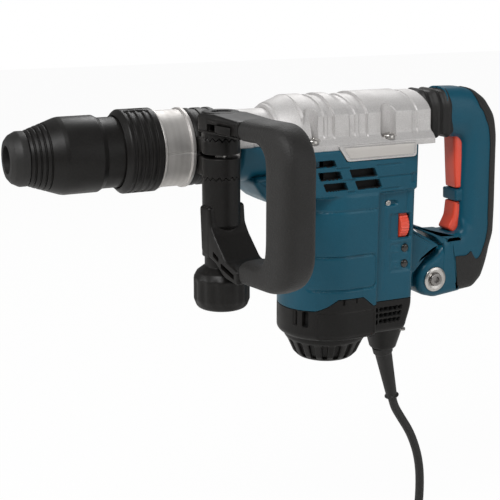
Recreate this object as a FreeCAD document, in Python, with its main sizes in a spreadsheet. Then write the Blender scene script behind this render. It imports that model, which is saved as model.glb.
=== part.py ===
import FreeCAD, Part

import math
import os

import Sketcher
from FreeCAD import Placement, Rotation, Vector

# Electric jackhammer. X runs along the barrel from the nose (x = 0) to the rear,
# Z is up through the barrel axis (z = 0), and the side handle is on -Y.
# Every body is shifted so that the frame's origin is at the middle of the rear grip.

SIZES = {
    # frame
    "grip_x": 446.0, "grip_z": -50.0,
    # tool holder
    "shank_radius": 9.0, "cap_lip": 15.2, "cap_mouth": 11.0, "cap_length": 13.8,
    "cap_radius": 21.6, "spindle_start": 9.0, "spindle_radius": 15.5, "spindle_end": 139.5,
    "flange_start": 98.0, "flange_end": 102.0, "journal_radius": 19.0, "chamber_radius": 12.5,
    "chamber_start": 92.0, "sleeve_start": 14.2, "sleeve_front_radius": 21.8,
    "sleeve_radius": 30.9, "sleeve_cone_end": 39.6, "sleeve_end": 70.8, "skirt_radius": 28.5,
    "skirt_start": 74.0, "skirt_end": 95.0, "skirt_wall": 2.5, "sleeve_shoulder": 66.0,
    "groove_start": 17.0, "groove_step": 3.9, "groove_width": 1.2, "groove_depth": 1.3,
    "bar_radius": 3.0, "bar_start": 46.3, "bar_length": 15.0, "bar_gap": 0.3,
    "ring_start": 88.0, "ring_end": 119.2, "ring_radius": 34.1, "ring_bore": 29.2,
    "ring_lip_start": 112.3, "ring_lip_bore": 24.5, "ring_chamfer": 4.0, "rib_pitch": 6.0,
    "rib_gap": 2.4, "rib_depth": 1.3, "pull_travel": 8.0, "ring_travel": 5.0,
    # collar, neck and striking mechanism
    "hub_start": 112.0, "hub_radius": 24.2, "collar_start": 119.5, "collar_radius": 31.5,
    "collar_flange": 32.5, "collar_flange_width": 2.5, "collar_bead": 33.0,
    "collar_bead_start": 143.0, "collar_end": 146.5, "neck_radius": 28.5, "neck_end": 236.0,
    "tube_radius": 24.0, "tube_bore": 19.0, "tube_start": 140.0, "tube_end": 276.0,
    "running_gap": 0.05, "clear_gap": 0.3, "bolt_nose_start": 72.0, "bolt_collar_start": 104.0,
    "bolt_collar_end": 128.0, "bolt_end": 150.0, "bolt_tail_radius": 9.5, "bolt_travel": 8.0,
    "damper_bore": 10.0, "damper_width": 8.0, "striker_length": 39.7, "striker_nose": 8.0,
    "piston_face": 222.0, "piston_end": 262.0, "piston_wall": 4.0, "piston_crown": 7.0,
    "pin_x": 250.0, "pin_radius": 5.0, "pin_length": 35.0, "rod_length": 63.0,
    "rod_small": 9.0, "rod_big": 12.0, "rod_thick": 14.0, "rod_web": 10.0,
    "crank_throw": 12.0, "crank_pin_radius": 8.0, "crank_pin_gap": 1.0, "crank_disc": 21.5,
    "crank_disc_top": -12.0, "crank_disc_thick": 7.0, "crank_shaft": 7.5,
    # gear train: three vertical shafts
    "motor_x": 287.0, "idler_distance": 20.0, "crank_distance": 30.0, "axis_offset": 38.0,
    "pinion_teeth": 10, "idler_wheel_teeth": 30, "idler_pinion_teeth": 12,
    "crank_gear_teeth": 48, "gear_module": 1.0, "wheel_low": -46.5, "wheel_high": -40.5,
    "crank_gear_low": -38.0, "crank_gear_high": -30.0, "plate_low": -28.5, "plate_high": -21.0,
    "bridge_low": -58.0, "bridge_high": -48.5, "bearing_width": 7.0, "idler_shaft": 4.0,
    "bearing_radius": 14.0, "idler_bearing_radius": 8.0,
    # motor
    "shaft_radius": 5.0, "shaft_low": -168.0, "core_radius": 23.0, "core_low": -128.0,
    "core_high": -80.0, "commutator_radius": 13.0, "commutator_low": -151.0,
    "commutator_high": -134.0, "fan_radius": 34.0, "fan_low": -70.0, "fan_high": -61.0,
    "air_gap": 0.8, "stator_low": -129.0, "stator_high": -79.0, "coil_height": 6.0,
    "brush_width": 8.0, "brush_height": 14.0, "brush_z": -144.0,
    # motor housing
    "case_wall": 3.0, "case_radius": 44.5, "case_rear": 356.5, "case_rear_half": 38.5,
    "case_step": 315.0, "case_top": -6.0, "case_low": -152.0, "upper_front": 240.0,
    "upper_half": 43.8, "upper_low": -47.0, "upper_rear_taper": 340.0, "nose_start": 187.5,
    "nose_radius": 32.5, "nose_bore": 28.8, "nose_end": 241.0, "gusset_half": 25.0,
    "boss_side": 9.0, "boss_half": 27.5,
    "lug_half": 9.5, "pivot_x": 394.0, "pivot_z": -139.0, "pivot_radius": 6.0,
    "handle_end_radius": 19.0, "bracket_half": 22.0,
    "vent_height": 7.0, "vent_lean": 4.0, "vent_step": 10.5,
    "wheel_x": 344.7, "wheel_z": -79.0, "wheel_radius": 13.5, "wheel_width": 9.0,
    "wheel_proud": 2.2, "lens_x": 346.7, "lens_z": -99.5, "lens_step": 14.5,
    "lens_radius": 3.7,
    # gear housing
    "cover_start": 222.0, "cover_cone_end": 242.0, "cover_end": 372.0, "cover_front_radius": 31.7,
    "cover_cone_radius": 38.6, "cover_top": 39.0, "cover_edge": 24.0, "cover_half": 36.0,
    "cover_flange_half": 42.0, "cover_valley": 2.2, "cover_wall": 4.0, "screw_front": 250.0,
    "screw_rear": 326.0, "screw_y": 37.0, "scallop_radius": 6.5, "screw_radius": 2.4,
    "screw_head": 5.0, "screw_head_low": 1.0, "screw_head_high": 4.6, "tab_start": 281.0,
    "tab_end": 352.0, "tab_low": -16.0, "strip_start": 200.0, "strip_high": 3.2,
    # bottom cap and intake
    "cap_low": -177.0, "cap_wall": 2.6, "grille_low": -201.0, "grille_top_radius": 38.0,
    "grille_low_radius": 27.0, "grille_ribs": 18, "cap_boss_x": 350.0, "cap_boss_low": -205.0,
    "cap_boss_radius": 12.5, "cap_boss_root": 17.0, "cap_boss_bore": 10.7,
    # rear handle
    "handle_half": 19.0, "handle_wall": 3.2, "bellows_start": 372.3, "bellows_end": 409.0,
    "bellows_half": 20.0, "bellows_low": -5.5, "bellows_high": 37.5, "rib_step": 2.2,
    "rubber_x": 455.0, "grip_front": 425.0, "handle_top": 39.0, "handle_low": -153.5,
    "handle_rear": 466.5, "arm_top": -97.0, "trigger_front": 413.0, "trigger_half": 9.0,
    "washer_radius": 11.7, "washer_thick": 2.6,
    # side handle
    "column_x": 160.5, "column_y": -48.0, "column_radius": 15.5, "band_start": 147.2,
    "band_end": 174.0, "band_radius": 32.0, "joint_high": 13.5, "joint_low": -18.0,
    "hub_top": 34.5, "hub_low": -82.0, "swing_rest": 9.4, "side_bolt_radius": 5.0,
    "ear_gap_low": -2.0, "ear_gap_high": 1.0, "grip_reach": 91.0, "grip_thick": 34.0,
    "grip_half": 15.8, "side_top": 33.5, "side_low": -96.0, "side_open_high": 16.0,
    "side_open_low": -77.0, "side_corner": 30.0, "side_inner_corner": 14.0,
    "arm_reach": 46.0, "arm_half": 18.4, "core_inset": 5.0, "core_half": 8.0,
    "knob_radius": 23.3, "knob_neck": 14.0, "knob_low": -127.0, "knob_shoulder": -96.5,
    # cord
    "cord_radius": 4.25, "coil_radius": 49.5, "coil_layers": 2, "floor_z": -448.0,
    "sleeve_length": 55.0, "cord_length": 2400.0,
}


class Size(float):
    """A number that remembers the spreadsheet expression it came from."""

    def __new__(cls, value, text=None):
        size = super().__new__(cls, value)
        size.text = text or f"({float(value)!r})"
        return size

    def join(self, sign, value, left, right):
        return Size(value, f"({Size.of(left).text} {sign} {Size.of(right).text})")

    @staticmethod
    def of(value):
        return value if isinstance(value, Size) else Size(value)

    def __add__(self, other):
        return self.join("+", float(self) + float(other), self, other)

    def __radd__(self, other):
        return self.join("+", float(other) + float(self), other, self)

    def __sub__(self, other):
        return self.join("-", float(self) - float(other), self, other)

    def __rsub__(self, other):
        return self.join("-", float(other) - float(self), other, self)

    def __mul__(self, other):
        return self.join("*", float(self) * float(other), self, other)

    def __rmul__(self, other):
        return self.join("*", float(other) * float(self), other, self)

    def __truediv__(self, other):
        return self.join("/", float(self) / float(other), self, other)

    def __neg__(self):
        return Size(-float(self), f"(-1 * {self.text})")


class Sheet:
    """The driving sizes: one spreadsheet cell and one attribute for each."""

    def __init__(self, doc, sizes):
        cells = doc.addObject("Spreadsheet::Sheet", "Sizes")
        for row, (name, value) in enumerate(sizes.items(), start=1):
            cells.set(f"A{row}", name)
            cells.set(f"B{row}", repr(value))
            cells.setAlias(f"B{row}", name)
            setattr(self, name, Size(value, f"Sizes.{name}"))
        doc.recompute()


doc = FreeCAD.newDocument("Jackhammer")
S = Sheet(doc, SIZES)
PARTS = []


def place(thing, at=(0, 0, 0), turn=None):
    """Put a sub-part's own origin at a point of the tool, bound to the sheet."""
    shift = (at[0] - S.grip_x, Size.of(at[1]), at[2] - S.grip_z)
    angle = float(turn) if turn is not None else 0
    thing.Placement = Placement(Vector(*map(float, shift)), Rotation(Vector(0, 0, 1), angle))
    for axis, value in zip("xyz", shift):
        thing.setExpression(f"Placement.Base.{axis}", value.text)
    if turn is not None:
        thing.setExpression("Placement.Rotation.Angle", turn.text)
    return thing


def body(label, at=(0, 0, 0), turn=None):
    """Start a PartDesign body for one sub-part."""
    new = doc.addObject("PartDesign::Body", label)
    new.Label = label
    PARTS.append(new)
    return place(new, at, turn)


def solid(label, shape, at=(0, 0, 0), lean=Rotation()):
    """Keep a shape that Part's own functions made as one sub-part."""
    new = doc.addObject("Part::Feature", label)
    new.Label = label
    new.Shape = shape
    PARTS.append(new)
    place(new, at)
    new.Placement = Placement(new.Placement.Base, lean)
    return new


def origin_feature(owner, role):
    return next(item for item in owner.Origin.OriginFeatures if item.Role == role)


def new_sketch(owner, plane, offset):
    sketch = owner.newObject("Sketcher::SketchObject", f"{owner.Name}_outline")
    sketch.AttachmentSupport = [(origin_feature(owner, plane), "")]
    sketch.MapMode = "FlatFace"
    offset = Size.of(offset)
    sketch.AttachmentOffset = Placement(Vector(0, 0, float(offset)), Rotation())
    sketch.setExpression("AttachmentOffset.Base.z", offset.text)
    return sketch


def bind(sketch, kind, geometry, position, value):
    """Add one dimension and tie it to the sheet."""
    value = Size.of(value)
    arguments = (geometry, position) if position else (geometry,)
    index = sketch.addConstraint(Sketcher.Constraint(kind, *arguments, float(value)))
    sketch.setExpression(f"Constraints[{index}]", value.text)


def arc_between(start, end, radius):
    """The shorter arc from start to end: counter-clockwise when radius is positive."""
    chord = end.sub(start)
    middle = (start + end) * 0.5
    left = Vector(-chord.y, chord.x, 0).normalize()
    height = math.sqrt(max(radius * radius - (chord.Length / 2) ** 2, 0))
    centre = middle + left * (height if radius > 0 else -height)
    first, last = (start, end) if radius > 0 else (end, start)
    angles = [math.atan2(p.y - centre.y, p.x - centre.x) for p in (first, last)]
    if angles[1] < angles[0]:
        angles[1] += 2 * math.pi
    return Part.ArcOfCircle(Part.Circle(centre, Vector(0, 0, 1), abs(radius)), *angles)


def outline(owner, plane, corners, offset=0):
    """Closed sketch through corners (u, v), (u, v, "round", r) or (u, v, "arc", R)."""
    sketch = new_sketch(owner, plane, offset)
    points = [Vector(float(c[0]), float(c[1]), 0) for c in corners]
    kinds = [c[2] if len(c) > 2 else "" for c in corners]
    count = len(corners)
    starts, ends, rounds = list(points), [points[(i + 1) % count] for i in range(count)], {}
    for i, kind in enumerate(kinds):
        if kind == "round":
            into = (points[i] - points[i - 1]).normalize()
            out = (points[(i + 1) % count] - points[i]).normalize()
            turn = into.getAngle(out)
            cut = float(corners[i][3]) * math.tan(turn / 2)
            ends[i - 1] = points[i] - into * cut
            starts[i] = points[i] + out * cut
            side = 1 if into.cross(out).z > 0 else -1
            rounds[i] = side * float(corners[i][3])
    edges = []
    for i in range(count):
        if kinds[i] == "arc":
            radius = float(corners[i][3])
            edges.append((sketch.addGeometry(arc_between(starts[i], ends[i], radius)), radius > 0))
        else:
            edges.append((sketch.addGeometry(Part.LineSegment(starts[i], ends[i])), True))
    for i in range(count):
        here, forward = edges[i]
        before, before_forward = edges[i - 1]
        head = (here, 1 if forward else 2)
        tail = (before, 2 if before_forward else 1)
        if i in rounds:
            radius = rounds[i]
            bend = sketch.addGeometry(arc_between(ends[i - 1], starts[i], radius))
            first, last = (1, 2) if radius > 0 else (2, 1)
            sketch.addConstraint(Sketcher.Constraint("Tangent", *tail, bend, first))
            sketch.addConstraint(Sketcher.Constraint("Tangent", bend, last, *head))
            bind(sketch, "Radius", bend, 0, corners[i][3])
            corner = sketch.addGeometry(Part.Point(points[i]), True)
            sketch.addConstraint(Sketcher.Constraint("PointOnObject", corner, 1, here))
            sketch.addConstraint(Sketcher.Constraint("PointOnObject", corner, 1, before))
            fixed = (corner, 1)
        else:
            sketch.addConstraint(Sketcher.Constraint("Coincident", *tail, *head))
            fixed = head
        bind(sketch, "DistanceX", *fixed, corners[i][0])
        bind(sketch, "DistanceY", *fixed, corners[i][1])
        if kinds[i] == "arc":
            radius = corners[i][3]
            bind(sketch, "Radius", here, 0, radius if radius > 0 else -radius)
    return sketch


def circles(owner, plane, centres, radius, offset=0):
    """Sketch of equal circles."""
    sketch = new_sketch(owner, plane, offset)
    for centre in centres:
        middle = Vector(float(centre[0]), float(centre[1]), 0)
        ring = sketch.addGeometry(Part.Circle(middle, Vector(0, 0, 1), float(radius)))
        bind(sketch, "DistanceX", ring, 3, centre[0])
        bind(sketch, "DistanceY", ring, 3, centre[1])
        bind(sketch, "Radius", ring, 0, radius)
    return sketch


def span(plane, low, high):
    """Where a plane's sketch stands so that its pad runs from low to high."""
    return (-Size.of(high) if plane == "XZ_Plane" else low), Size.of(high) - low


def extrude(owner, sketch, length, cut=False):
    feature = owner.newObject("PartDesign::Pocket" if cut else "PartDesign::Pad",
                              f"{owner.Name}_{'cut' if cut else 'pad'}")
    feature.Profile = sketch
    feature.Length = float(length)
    feature.setExpression("Length", length.text)
    feature.Reversed = cut
    return feature


def block(owner, plane, corners, low, high, cut=False):
    offset, length = span(plane, low, high)
    return extrude(owner, outline(owner, plane, corners, offset), length, cut)


def rods(owner, plane, centres, radius, low, high, cut=False):
    offset, length = span(plane, low, high)
    return extrude(owner, circles(owner, plane, centres, radius, offset), length, cut)


def turned(owner, corners, axis="H_Axis", cut=False, angle=360, plane="XZ_Plane"):
    """Revolve an outline about the sketch's own horizontal or vertical axis."""
    sketch = outline(owner, plane, corners)
    kind = "PartDesign::Groove" if cut else "PartDesign::Revolution"
    feature = owner.newObject(kind, f"{owner.Name}_{'groove' if cut else 'turn'}")
    feature.Profile = sketch
    feature.ReferenceAxis = (sketch, [axis])
    feature.Angle = angle
    return feature


def around(owner, features, count, axis="Z_Axis"):
    """Repeat features round one of the body's axes."""
    pattern = owner.newObject("PartDesign::PolarPattern", f"{owner.Name}_pattern")
    pattern.Originals = features
    pattern.Axis = (origin_feature(owner, axis), [""])
    pattern.Angle = 360
    pattern.Occurrences = int(count)
    if isinstance(count, Size):
        pattern.setExpression("Occurrences", count.text)
    owner.Tip = pattern
    return pattern


def rectangle(left, low, right, high, radius=None):
    corners = [(left, low), (right, low), (right, high), (left, high)]
    return corners if radius is None else [(*corner, "round", radius) for corner in corners]


def mirror_v(corners):
    """The same outline on the other side of the horizontal axis."""
    return [(u, -v, *rest) for u, v, *rest in corners]


def ring_outline(start, end, inner, outer):
    return [(start, inner), (end, inner), (end, outer), (start, outer)]


def coil_spring(label, at, room, radius, wire, turns):
    """Round-wire helix about X that fills the room behind the point at."""
    pitch = float(room - 2 * wire) / turns
    path = Part.makeHelix(pitch, pitch * turns, float(radius))
    section = Part.Wire(Part.makeCircle(wire, Vector(float(radius), 0, 0), Vector(0, 1, 0)))
    shape = Part.Wire(path.Edges).makePipeShell([section], True, True)
    return solid(label, shape, (at[0] + wire, at[1], at[2]), Rotation(Vector(0, 1, 0), 90))


# ---------------------------------------------------------------- tool holder

def tool_holder():
    cap = body("dust_cap")
    turned(cap, [(0, S.cap_mouth), (0, S.cap_lip), (2.6, S.cap_lip + 3.6),
                 (S.cap_length - 5, S.cap_radius), (S.cap_length, S.cap_radius),
                 (S.cap_length, S.spindle_radius), (S.spindle_start, S.spindle_radius),
                 (S.spindle_start, S.cap_mouth)])

    spindle = body("tool_spindle")
    nose_bore = S.shank_radius + 0.2
    turned(spindle, [(S.spindle_start, S.shank_radius), (S.spindle_start, S.spindle_radius),
                     (S.flange_start, S.spindle_radius), (S.flange_start, S.tube_radius),
                     (S.flange_end, S.tube_radius), (S.flange_end, S.journal_radius),
                     (S.spindle_end, S.journal_radius), (S.spindle_end, S.chamber_radius),
                     (S.chamber_start, S.chamber_radius), (S.chamber_start, nose_bore),
                     (S.bolt_nose_start, nose_bore), (S.bolt_nose_start, S.shank_radius)])
    slot_half = S.bar_radius + S.bar_gap
    slot_start, slot_end = S.bar_start - S.bar_gap, S.bar_start + S.bar_length + S.bar_gap
    block(spindle, "XZ_Plane", rectangle(slot_start, -slot_half, slot_end, slot_half),
          -(S.spindle_radius + 1), S.spindle_radius + 1, cut=True)

    bars = body("locking_bars")
    bar_y = S.shank_radius + S.bar_gap + S.bar_radius
    rods(bars, "YZ_Plane", [(bar_y, 0), (-bar_y, 0)], S.bar_radius, S.bar_start,
         S.bar_start + S.bar_length)

    sleeve = body("locking_sleeve")
    bore = S.spindle_radius + S.clear_gap
    skirt_bore = S.skirt_radius - S.skirt_wall
    turned(sleeve, [(S.sleeve_start, bore), (S.sleeve_start, S.sleeve_front_radius),
                    (S.sleeve_cone_end, S.sleeve_radius - 0.5), (42.0, S.sleeve_radius),
                    (S.sleeve_end, S.sleeve_radius), (S.skirt_start, S.skirt_radius),
                    (S.skirt_end, S.skirt_radius), (S.skirt_end, skirt_bore),
                    (S.sleeve_shoulder, skirt_bore), (S.sleeve_shoulder, bore)])
    for number in range(4):
        start = S.groove_start + S.groove_step * number
        cone = (S.sleeve_radius - S.sleeve_front_radius) / (S.sleeve_cone_end - S.sleeve_start)
        surface = S.sleeve_front_radius + cone * (start - S.sleeve_start)
        turned(sleeve, ring_outline(start, start + S.groove_width, surface - S.groove_depth,
                                    surface + 3), cut=True)

    coil_spring("sleeve_spring", (S.sleeve_shoulder + S.clear_gap, 0, 0),
                S.flange_start - S.sleeve_shoulder - 2 * S.clear_gap, S.spindle_radius + 3.2, 1.3, 4.5)

    ring = body("setting_ring")
    turned(ring, [(S.ring_start, S.ring_bore), (S.ring_start, S.ring_radius - S.ring_chamfer),
                  (S.ring_start + S.ring_chamfer, S.ring_radius),
                  (S.ring_end - 2, S.ring_radius), (S.ring_end, S.ring_radius - 2),
                  (S.ring_end, S.ring_lip_bore), (S.ring_lip_start, S.ring_lip_bore),
                  (S.ring_lip_start, S.ring_bore)])
    for number in range(4):
        start = S.ring_start + S.ring_chamfer + 1.2 + S.rib_pitch * number
        turned(ring, ring_outline(start, start + S.rib_gap, S.ring_radius - S.rib_depth,
                                  S.ring_radius + 2), cut=True)

    # cone spring between the spindle's flange and the ring's lip
    disc = body("ring_spring")
    start, end = S.flange_end + S.clear_gap, S.ring_lip_start - S.clear_gap
    turned(disc, [(start, S.tube_radius - 4.0), (start, S.tube_radius - 2.0),
                  (end, S.ring_bore - 0.6), (end, S.ring_bore - 2.6)])


# ------------------------------------------------- collar, neck and striking parts

def barrel():
    collar = body("front_collar")
    bush = S.journal_radius + S.running_gap
    flange_end = S.collar_start + S.collar_flange_width
    turned(collar, [(S.hub_start, bush), (S.hub_start, S.hub_radius),
                    (S.collar_start, S.hub_radius), (S.collar_start, S.collar_flange),
                    (flange_end, S.collar_flange), (flange_end, S.collar_radius),
                    (S.collar_bead_start, S.collar_radius), (S.collar_bead_start, S.collar_bead),
                    (S.collar_end, S.collar_bead), (S.collar_end, S.tube_radius),
                    (S.tube_start, S.tube_radius), (S.tube_start, bush)])

    neck = body("neck_tube")
    turned(neck, ring_outline(S.collar_end, S.neck_end, S.tube_radius, S.neck_radius))

    tube = body("hammer_tube")
    turned(tube, ring_outline(S.tube_start, S.tube_end, S.tube_bore, S.tube_radius))

    bolt = body("impact_bolt")
    nose = S.shank_radius - 0.1
    collar_radius = S.chamber_radius - 0.1
    turned(bolt, [(S.bolt_nose_start, 0), (S.bolt_nose_start, nose - 1),
                  (S.bolt_nose_start + 1, nose), (S.bolt_collar_start, nose),
                  (S.bolt_collar_start, collar_radius), (S.bolt_collar_end, collar_radius),
                  (S.bolt_collar_end, S.bolt_tail_radius), (S.bolt_end, S.bolt_tail_radius),
                  (S.bolt_end, 0)])

    damper = body("damping_ring")
    damper_start = S.tube_start + 1
    turned(damper, ring_outline(damper_start, damper_start + S.damper_width, S.damper_bore,
                                S.tube_bore))

    striker = body("striker")
    head = S.tube_bore - S.running_gap
    start = S.bolt_end + S.bolt_travel + S.clear_gap
    shoulder = start + S.striker_nose
    turned(striker, [(start, 0), (start, S.bolt_tail_radius), (shoulder, S.bolt_tail_radius),
                     (shoulder, head), (start + S.striker_length, head),
                     (start + S.striker_length, 0)])

    piston = body("piston")
    bore = head - S.piston_wall
    crown = S.piston_face + S.piston_crown
    turned(piston, [(S.piston_face, 0), (S.piston_face, head), (S.piston_end, head),
                    (S.piston_end, bore), (crown, bore), (crown, 0)])
    rods(piston, "XY_Plane", [(S.pin_x, 0)], S.pin_radius, -S.tube_bore, S.tube_bore, cut=True)

    pin = body("piston_pin", (S.pin_x, 0, 0))
    rods(pin, "XY_Plane", [(0, 0)], S.pin_radius, -S.pin_length / 2, S.pin_length / 2)

    rod = body("connecting_rod", (S.pin_x, 0, 0))
    half = S.rod_thick / 2
    rods(rod, "XY_Plane", [(0, 0)], S.rod_small, -half, half)
    rods(rod, "XY_Plane", [(S.rod_length, 0)], S.rod_big, -half, half)
    block(rod, "XY_Plane", rectangle(0, -S.rod_web / 2, S.rod_length, S.rod_web / 2),
          -half + 2, half - 2)
    rods(rod, "XY_Plane", [(0, 0)], S.pin_radius + S.running_gap, -half, half, cut=True)
    rods(rod, "XY_Plane", [(S.rod_length, 0)], S.crank_pin_radius + S.running_gap, -half, half,
         cut=True)


# ------------------------------------------------------------------- gear train

def gear_teeth(owner, teeth, low, high, phase):
    """Root disc and a ring of tapered teeth; the first tooth points along phase degrees."""
    module = S.gear_module
    pitch = module * teeth / 2
    root, tip = pitch - 1.15 * module, pitch + 0.8 * module
    half_root, half_tip = 0.95 * module, 0.26 * module
    rods(owner, "XY_Plane", [(0, 0)], root, low, high)
    turn = math.radians(phase)
    along, across = (math.cos(turn), math.sin(turn)), (-math.sin(turn), math.cos(turn))
    corners = [(root - 0.6 * module, -half_root), (tip, -half_tip), (tip, half_tip),
               (root - 0.6 * module, half_root)]
    placed = [(r * along[0] + w * across[0], r * along[1] + w * across[1]) for r, w in corners]
    tooth = block(owner, "XY_Plane", placed, low, high)
    around(owner, [tooth], teeth)


def gear_angles():
    """Directions between the three vertical shafts, seen from above."""
    a, b, c = float(S.idler_distance), float(S.crank_distance), float(S.axis_offset)
    idler = math.degrees(math.acos((a * a + c * c - b * b) / (2 * a * c)))
    x, y = a * math.cos(math.radians(idler)), a * math.sin(math.radians(idler))
    crank = math.degrees(math.atan2(-y, c - x))
    return idler, crank, x, y


def gear_train():
    idler_angle, crank_angle, idler_dx, idler_dy = gear_angles()
    crank_x = S.motor_x + S.axis_offset
    idler_x, idler_y = S.motor_x + idler_dx, Size(idler_dy)

    crank = body("crankshaft", (crank_x, 0, 0))
    disc_low = S.crank_disc_top - S.crank_disc_thick
    gear_phase = crank_angle + 180 + 180 / float(S.crank_gear_teeth)
    gear_teeth(crank, S.crank_gear_teeth, S.crank_gear_low, S.crank_gear_high, gear_phase)
    rods(crank, "XY_Plane", [(0, 0)], S.crank_shaft, S.bridge_low, S.crank_disc_top)
    rods(crank, "XY_Plane", [(0, 0)], S.crank_disc, disc_low, S.crank_disc_top)
    pin_top = -S.rod_thick / 2 - S.crank_pin_gap
    rods(crank, "XY_Plane", [(-S.crank_throw, 0)], S.crank_pin_radius, S.crank_disc_top, pin_top)

    idler = body("idler_gear", (idler_x, idler_y, 0))
    wheel_phase = idler_angle + 180 + 180 / float(S.idler_wheel_teeth)
    gear_teeth(idler, S.idler_wheel_teeth, S.wheel_low, S.wheel_high, wheel_phase)
    gear_teeth(idler, S.idler_pinion_teeth, S.wheel_high, S.crank_gear_high + 1, crank_angle)
    rods(idler, "XY_Plane", [(0, 0)], S.idler_shaft, S.bridge_low + 1, S.plate_high - 1)

    bore_gap = S.bearing_radius
    plate = body("gear_plate")
    inner_rear, inner_half = S.case_rear - S.case_wall, S.case_rear_half - S.case_wall
    front = S.tube_end + 4.5
    gap = 0.15
    notch = S.boss_side + gap
    side = [(front, -inner_half + gap), (S.screw_rear - notch, -inner_half + gap),
            (S.screw_rear - notch, -S.boss_half + gap), (S.screw_rear + notch, -S.boss_half + gap),
            (S.screw_rear + notch, -inner_half + gap), (inner_rear - gap, -inner_half + gap)]
    block(plate, "XY_Plane", side + [(u, -v) for u, v in reversed(side)], S.plate_low,
          S.plate_high)
    rods(plate, "XY_Plane", [(crank_x, 0)], bore_gap, S.plate_low, S.plate_high, cut=True)
    rods(plate, "XY_Plane", [(idler_x, idler_y)], S.idler_bearing_radius, S.plate_low,
         S.plate_high, cut=True)

    bridge = body("bearing_bridge")
    block(bridge, "XY_Plane", case_plan(S.case_wall + 0.1), S.bridge_low, S.bridge_high)
    for centre in ((S.motor_x, 0), (crank_x, 0)):
        rods(bridge, "XY_Plane", [centre], bore_gap, S.bridge_low, S.bridge_high, cut=True)
    rods(bridge, "XY_Plane", [(idler_x, idler_y)], S.idler_bearing_radius,
         S.bridge_low, S.bridge_high, cut=True)

    bearings = body("shaft_bearings")
    gap = S.running_gap
    low, high = S.bridge_low + 0.5, S.bridge_low + 0.5 + S.bearing_width
    plate_low = S.plate_low + 0.2
    cap_bearing = S.commutator_low - 4
    shafts = [((S.motor_x, 0), S.shaft_radius, S.bearing_radius, low, high),
              ((S.motor_x, 0), S.shaft_radius, S.bearing_radius - 2,
               cap_bearing - S.bearing_width, cap_bearing),
              ((crank_x, 0), S.crank_shaft, S.bearing_radius, low, high),
              ((crank_x, 0), S.crank_shaft, S.bearing_radius, plate_low,
               plate_low + S.bearing_width),
              ((idler_x, idler_y), S.idler_shaft, S.idler_bearing_radius, low, high),
              ((idler_x, idler_y), S.idler_shaft, S.idler_bearing_radius, plate_low,
               plate_low + S.bearing_width)]
    for centre, shaft, outer, start, end in shafts:
        rods(bearings, "XY_Plane", [centre], outer, start, end)
        rods(bearings, "XY_Plane", [centre], shaft + gap, start, end, cut=True)


# ------------------------------------------------------------------------ motor

def motor():
    centre = (S.motor_x, 0, 0)
    idler_angle = gear_angles()[0]
    armature = body("armature", centre)
    gear_teeth(armature, S.pinion_teeth, S.wheel_low - 0.5, S.wheel_high + 1, idler_angle)
    turned(armature, [(0, S.shaft_low), (S.shaft_radius, S.shaft_low),
                      (S.shaft_radius, S.core_low), (S.core_radius, S.core_low),
                      (S.core_radius, S.core_high), (S.shaft_radius, S.core_high),
                      (S.shaft_radius, S.wheel_low - 1), (0, S.wheel_low - 1)], "V_Axis")

    commutator = body("commutator", centre)
    turned(commutator, ring_outline(S.shaft_radius, S.commutator_radius, S.commutator_low,
                                    S.commutator_high), "V_Axis")
    slot = block(commutator, "XY_Plane",
                 rectangle(S.commutator_radius - 1.2, -0.3, S.commutator_radius + 1, 0.3),
                 S.commutator_low, S.commutator_high, cut=True)
    around(commutator, [slot], 16)

    fan = body("motor_fan", centre)
    turned(fan, [(S.shaft_radius, S.fan_low), (S.fan_radius, S.fan_low),
                 (S.fan_radius, S.fan_low + 1.5), (S.shaft_radius + 4, S.fan_low + 1.5),
                 (S.shaft_radius + 4, S.fan_high), (S.shaft_radius, S.fan_high)], "V_Axis")
    blade = block(fan, "XY_Plane", rectangle(S.fan_radius - 17, -0.8, S.fan_radius - 1, 0.8),
                  S.fan_low + 1.5, S.fan_high)
    around(fan, [blade], 12)

    stator = body("stator", centre)
    stator_outer = S.case_radius - S.case_wall - 0.1
    bore = S.core_radius + S.air_gap
    rods(stator, "XY_Plane", [(0, 0)], stator_outer, S.stator_low, S.stator_high)
    rods(stator, "XY_Plane", [(0, 0)], bore, S.stator_low, S.stator_high, cut=True)

    windings = body("field_windings", centre)
    for low, high in ((S.stator_low - S.coil_height, S.stator_low),
                      (S.stator_high, S.stator_high + S.coil_height)):
        turned(windings, ring_outline(bore + 1, stator_outer - 5, low, high), "V_Axis")

    holders = body("brush_holders", centre)
    brushes = body("carbon_brushes", centre)
    half_w, half_h = S.brush_width / 2, S.brush_height / 2
    wall = 1.6
    outer = S.case_radius - S.case_wall - 0.8
    contact = S.commutator_radius + 0.1
    low, high = S.brush_z - half_h, S.brush_z + half_h
    for side in (1, -1):
        near, far = sorted((side * (S.commutator_radius + 2.5), side * outer))
        block(holders, "XZ_Plane", rectangle(-half_w - wall, low - wall, half_w + wall,
                                             high + wall), near, far)
        near, far = sorted((side * contact, side * (contact + 18)))
        block(brushes, "XZ_Plane", rectangle(-half_w, low, half_w, high), near, far)
    block(holders, "XZ_Plane", rectangle(-half_w - 0.1, low - 0.1, half_w + 0.1, high + 0.1),
          -outer + 3, outer - 3, cut=True)


# ------------------------------------------------------------------- housings

def case_plan(inset=0):
    """Plan of the motor case: round front, flat sides, narrower rear block."""
    radius = S.case_radius - inset
    rear, rear_half = S.case_rear - inset, S.case_rear_half - inset
    step = S.case_step - inset / 2
    return [(S.motor_x, radius, "arc", radius * 1.0001), (S.motor_x - radius, 0, "arc", radius * 1.0001),
            (S.motor_x, -radius), (step, -radius), (step, -rear_half),
            (rear, -rear_half, "round", S.case_wall + 1), (rear, rear_half, "round", S.case_wall + 1),
            (step, rear_half), (step, radius)]


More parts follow.
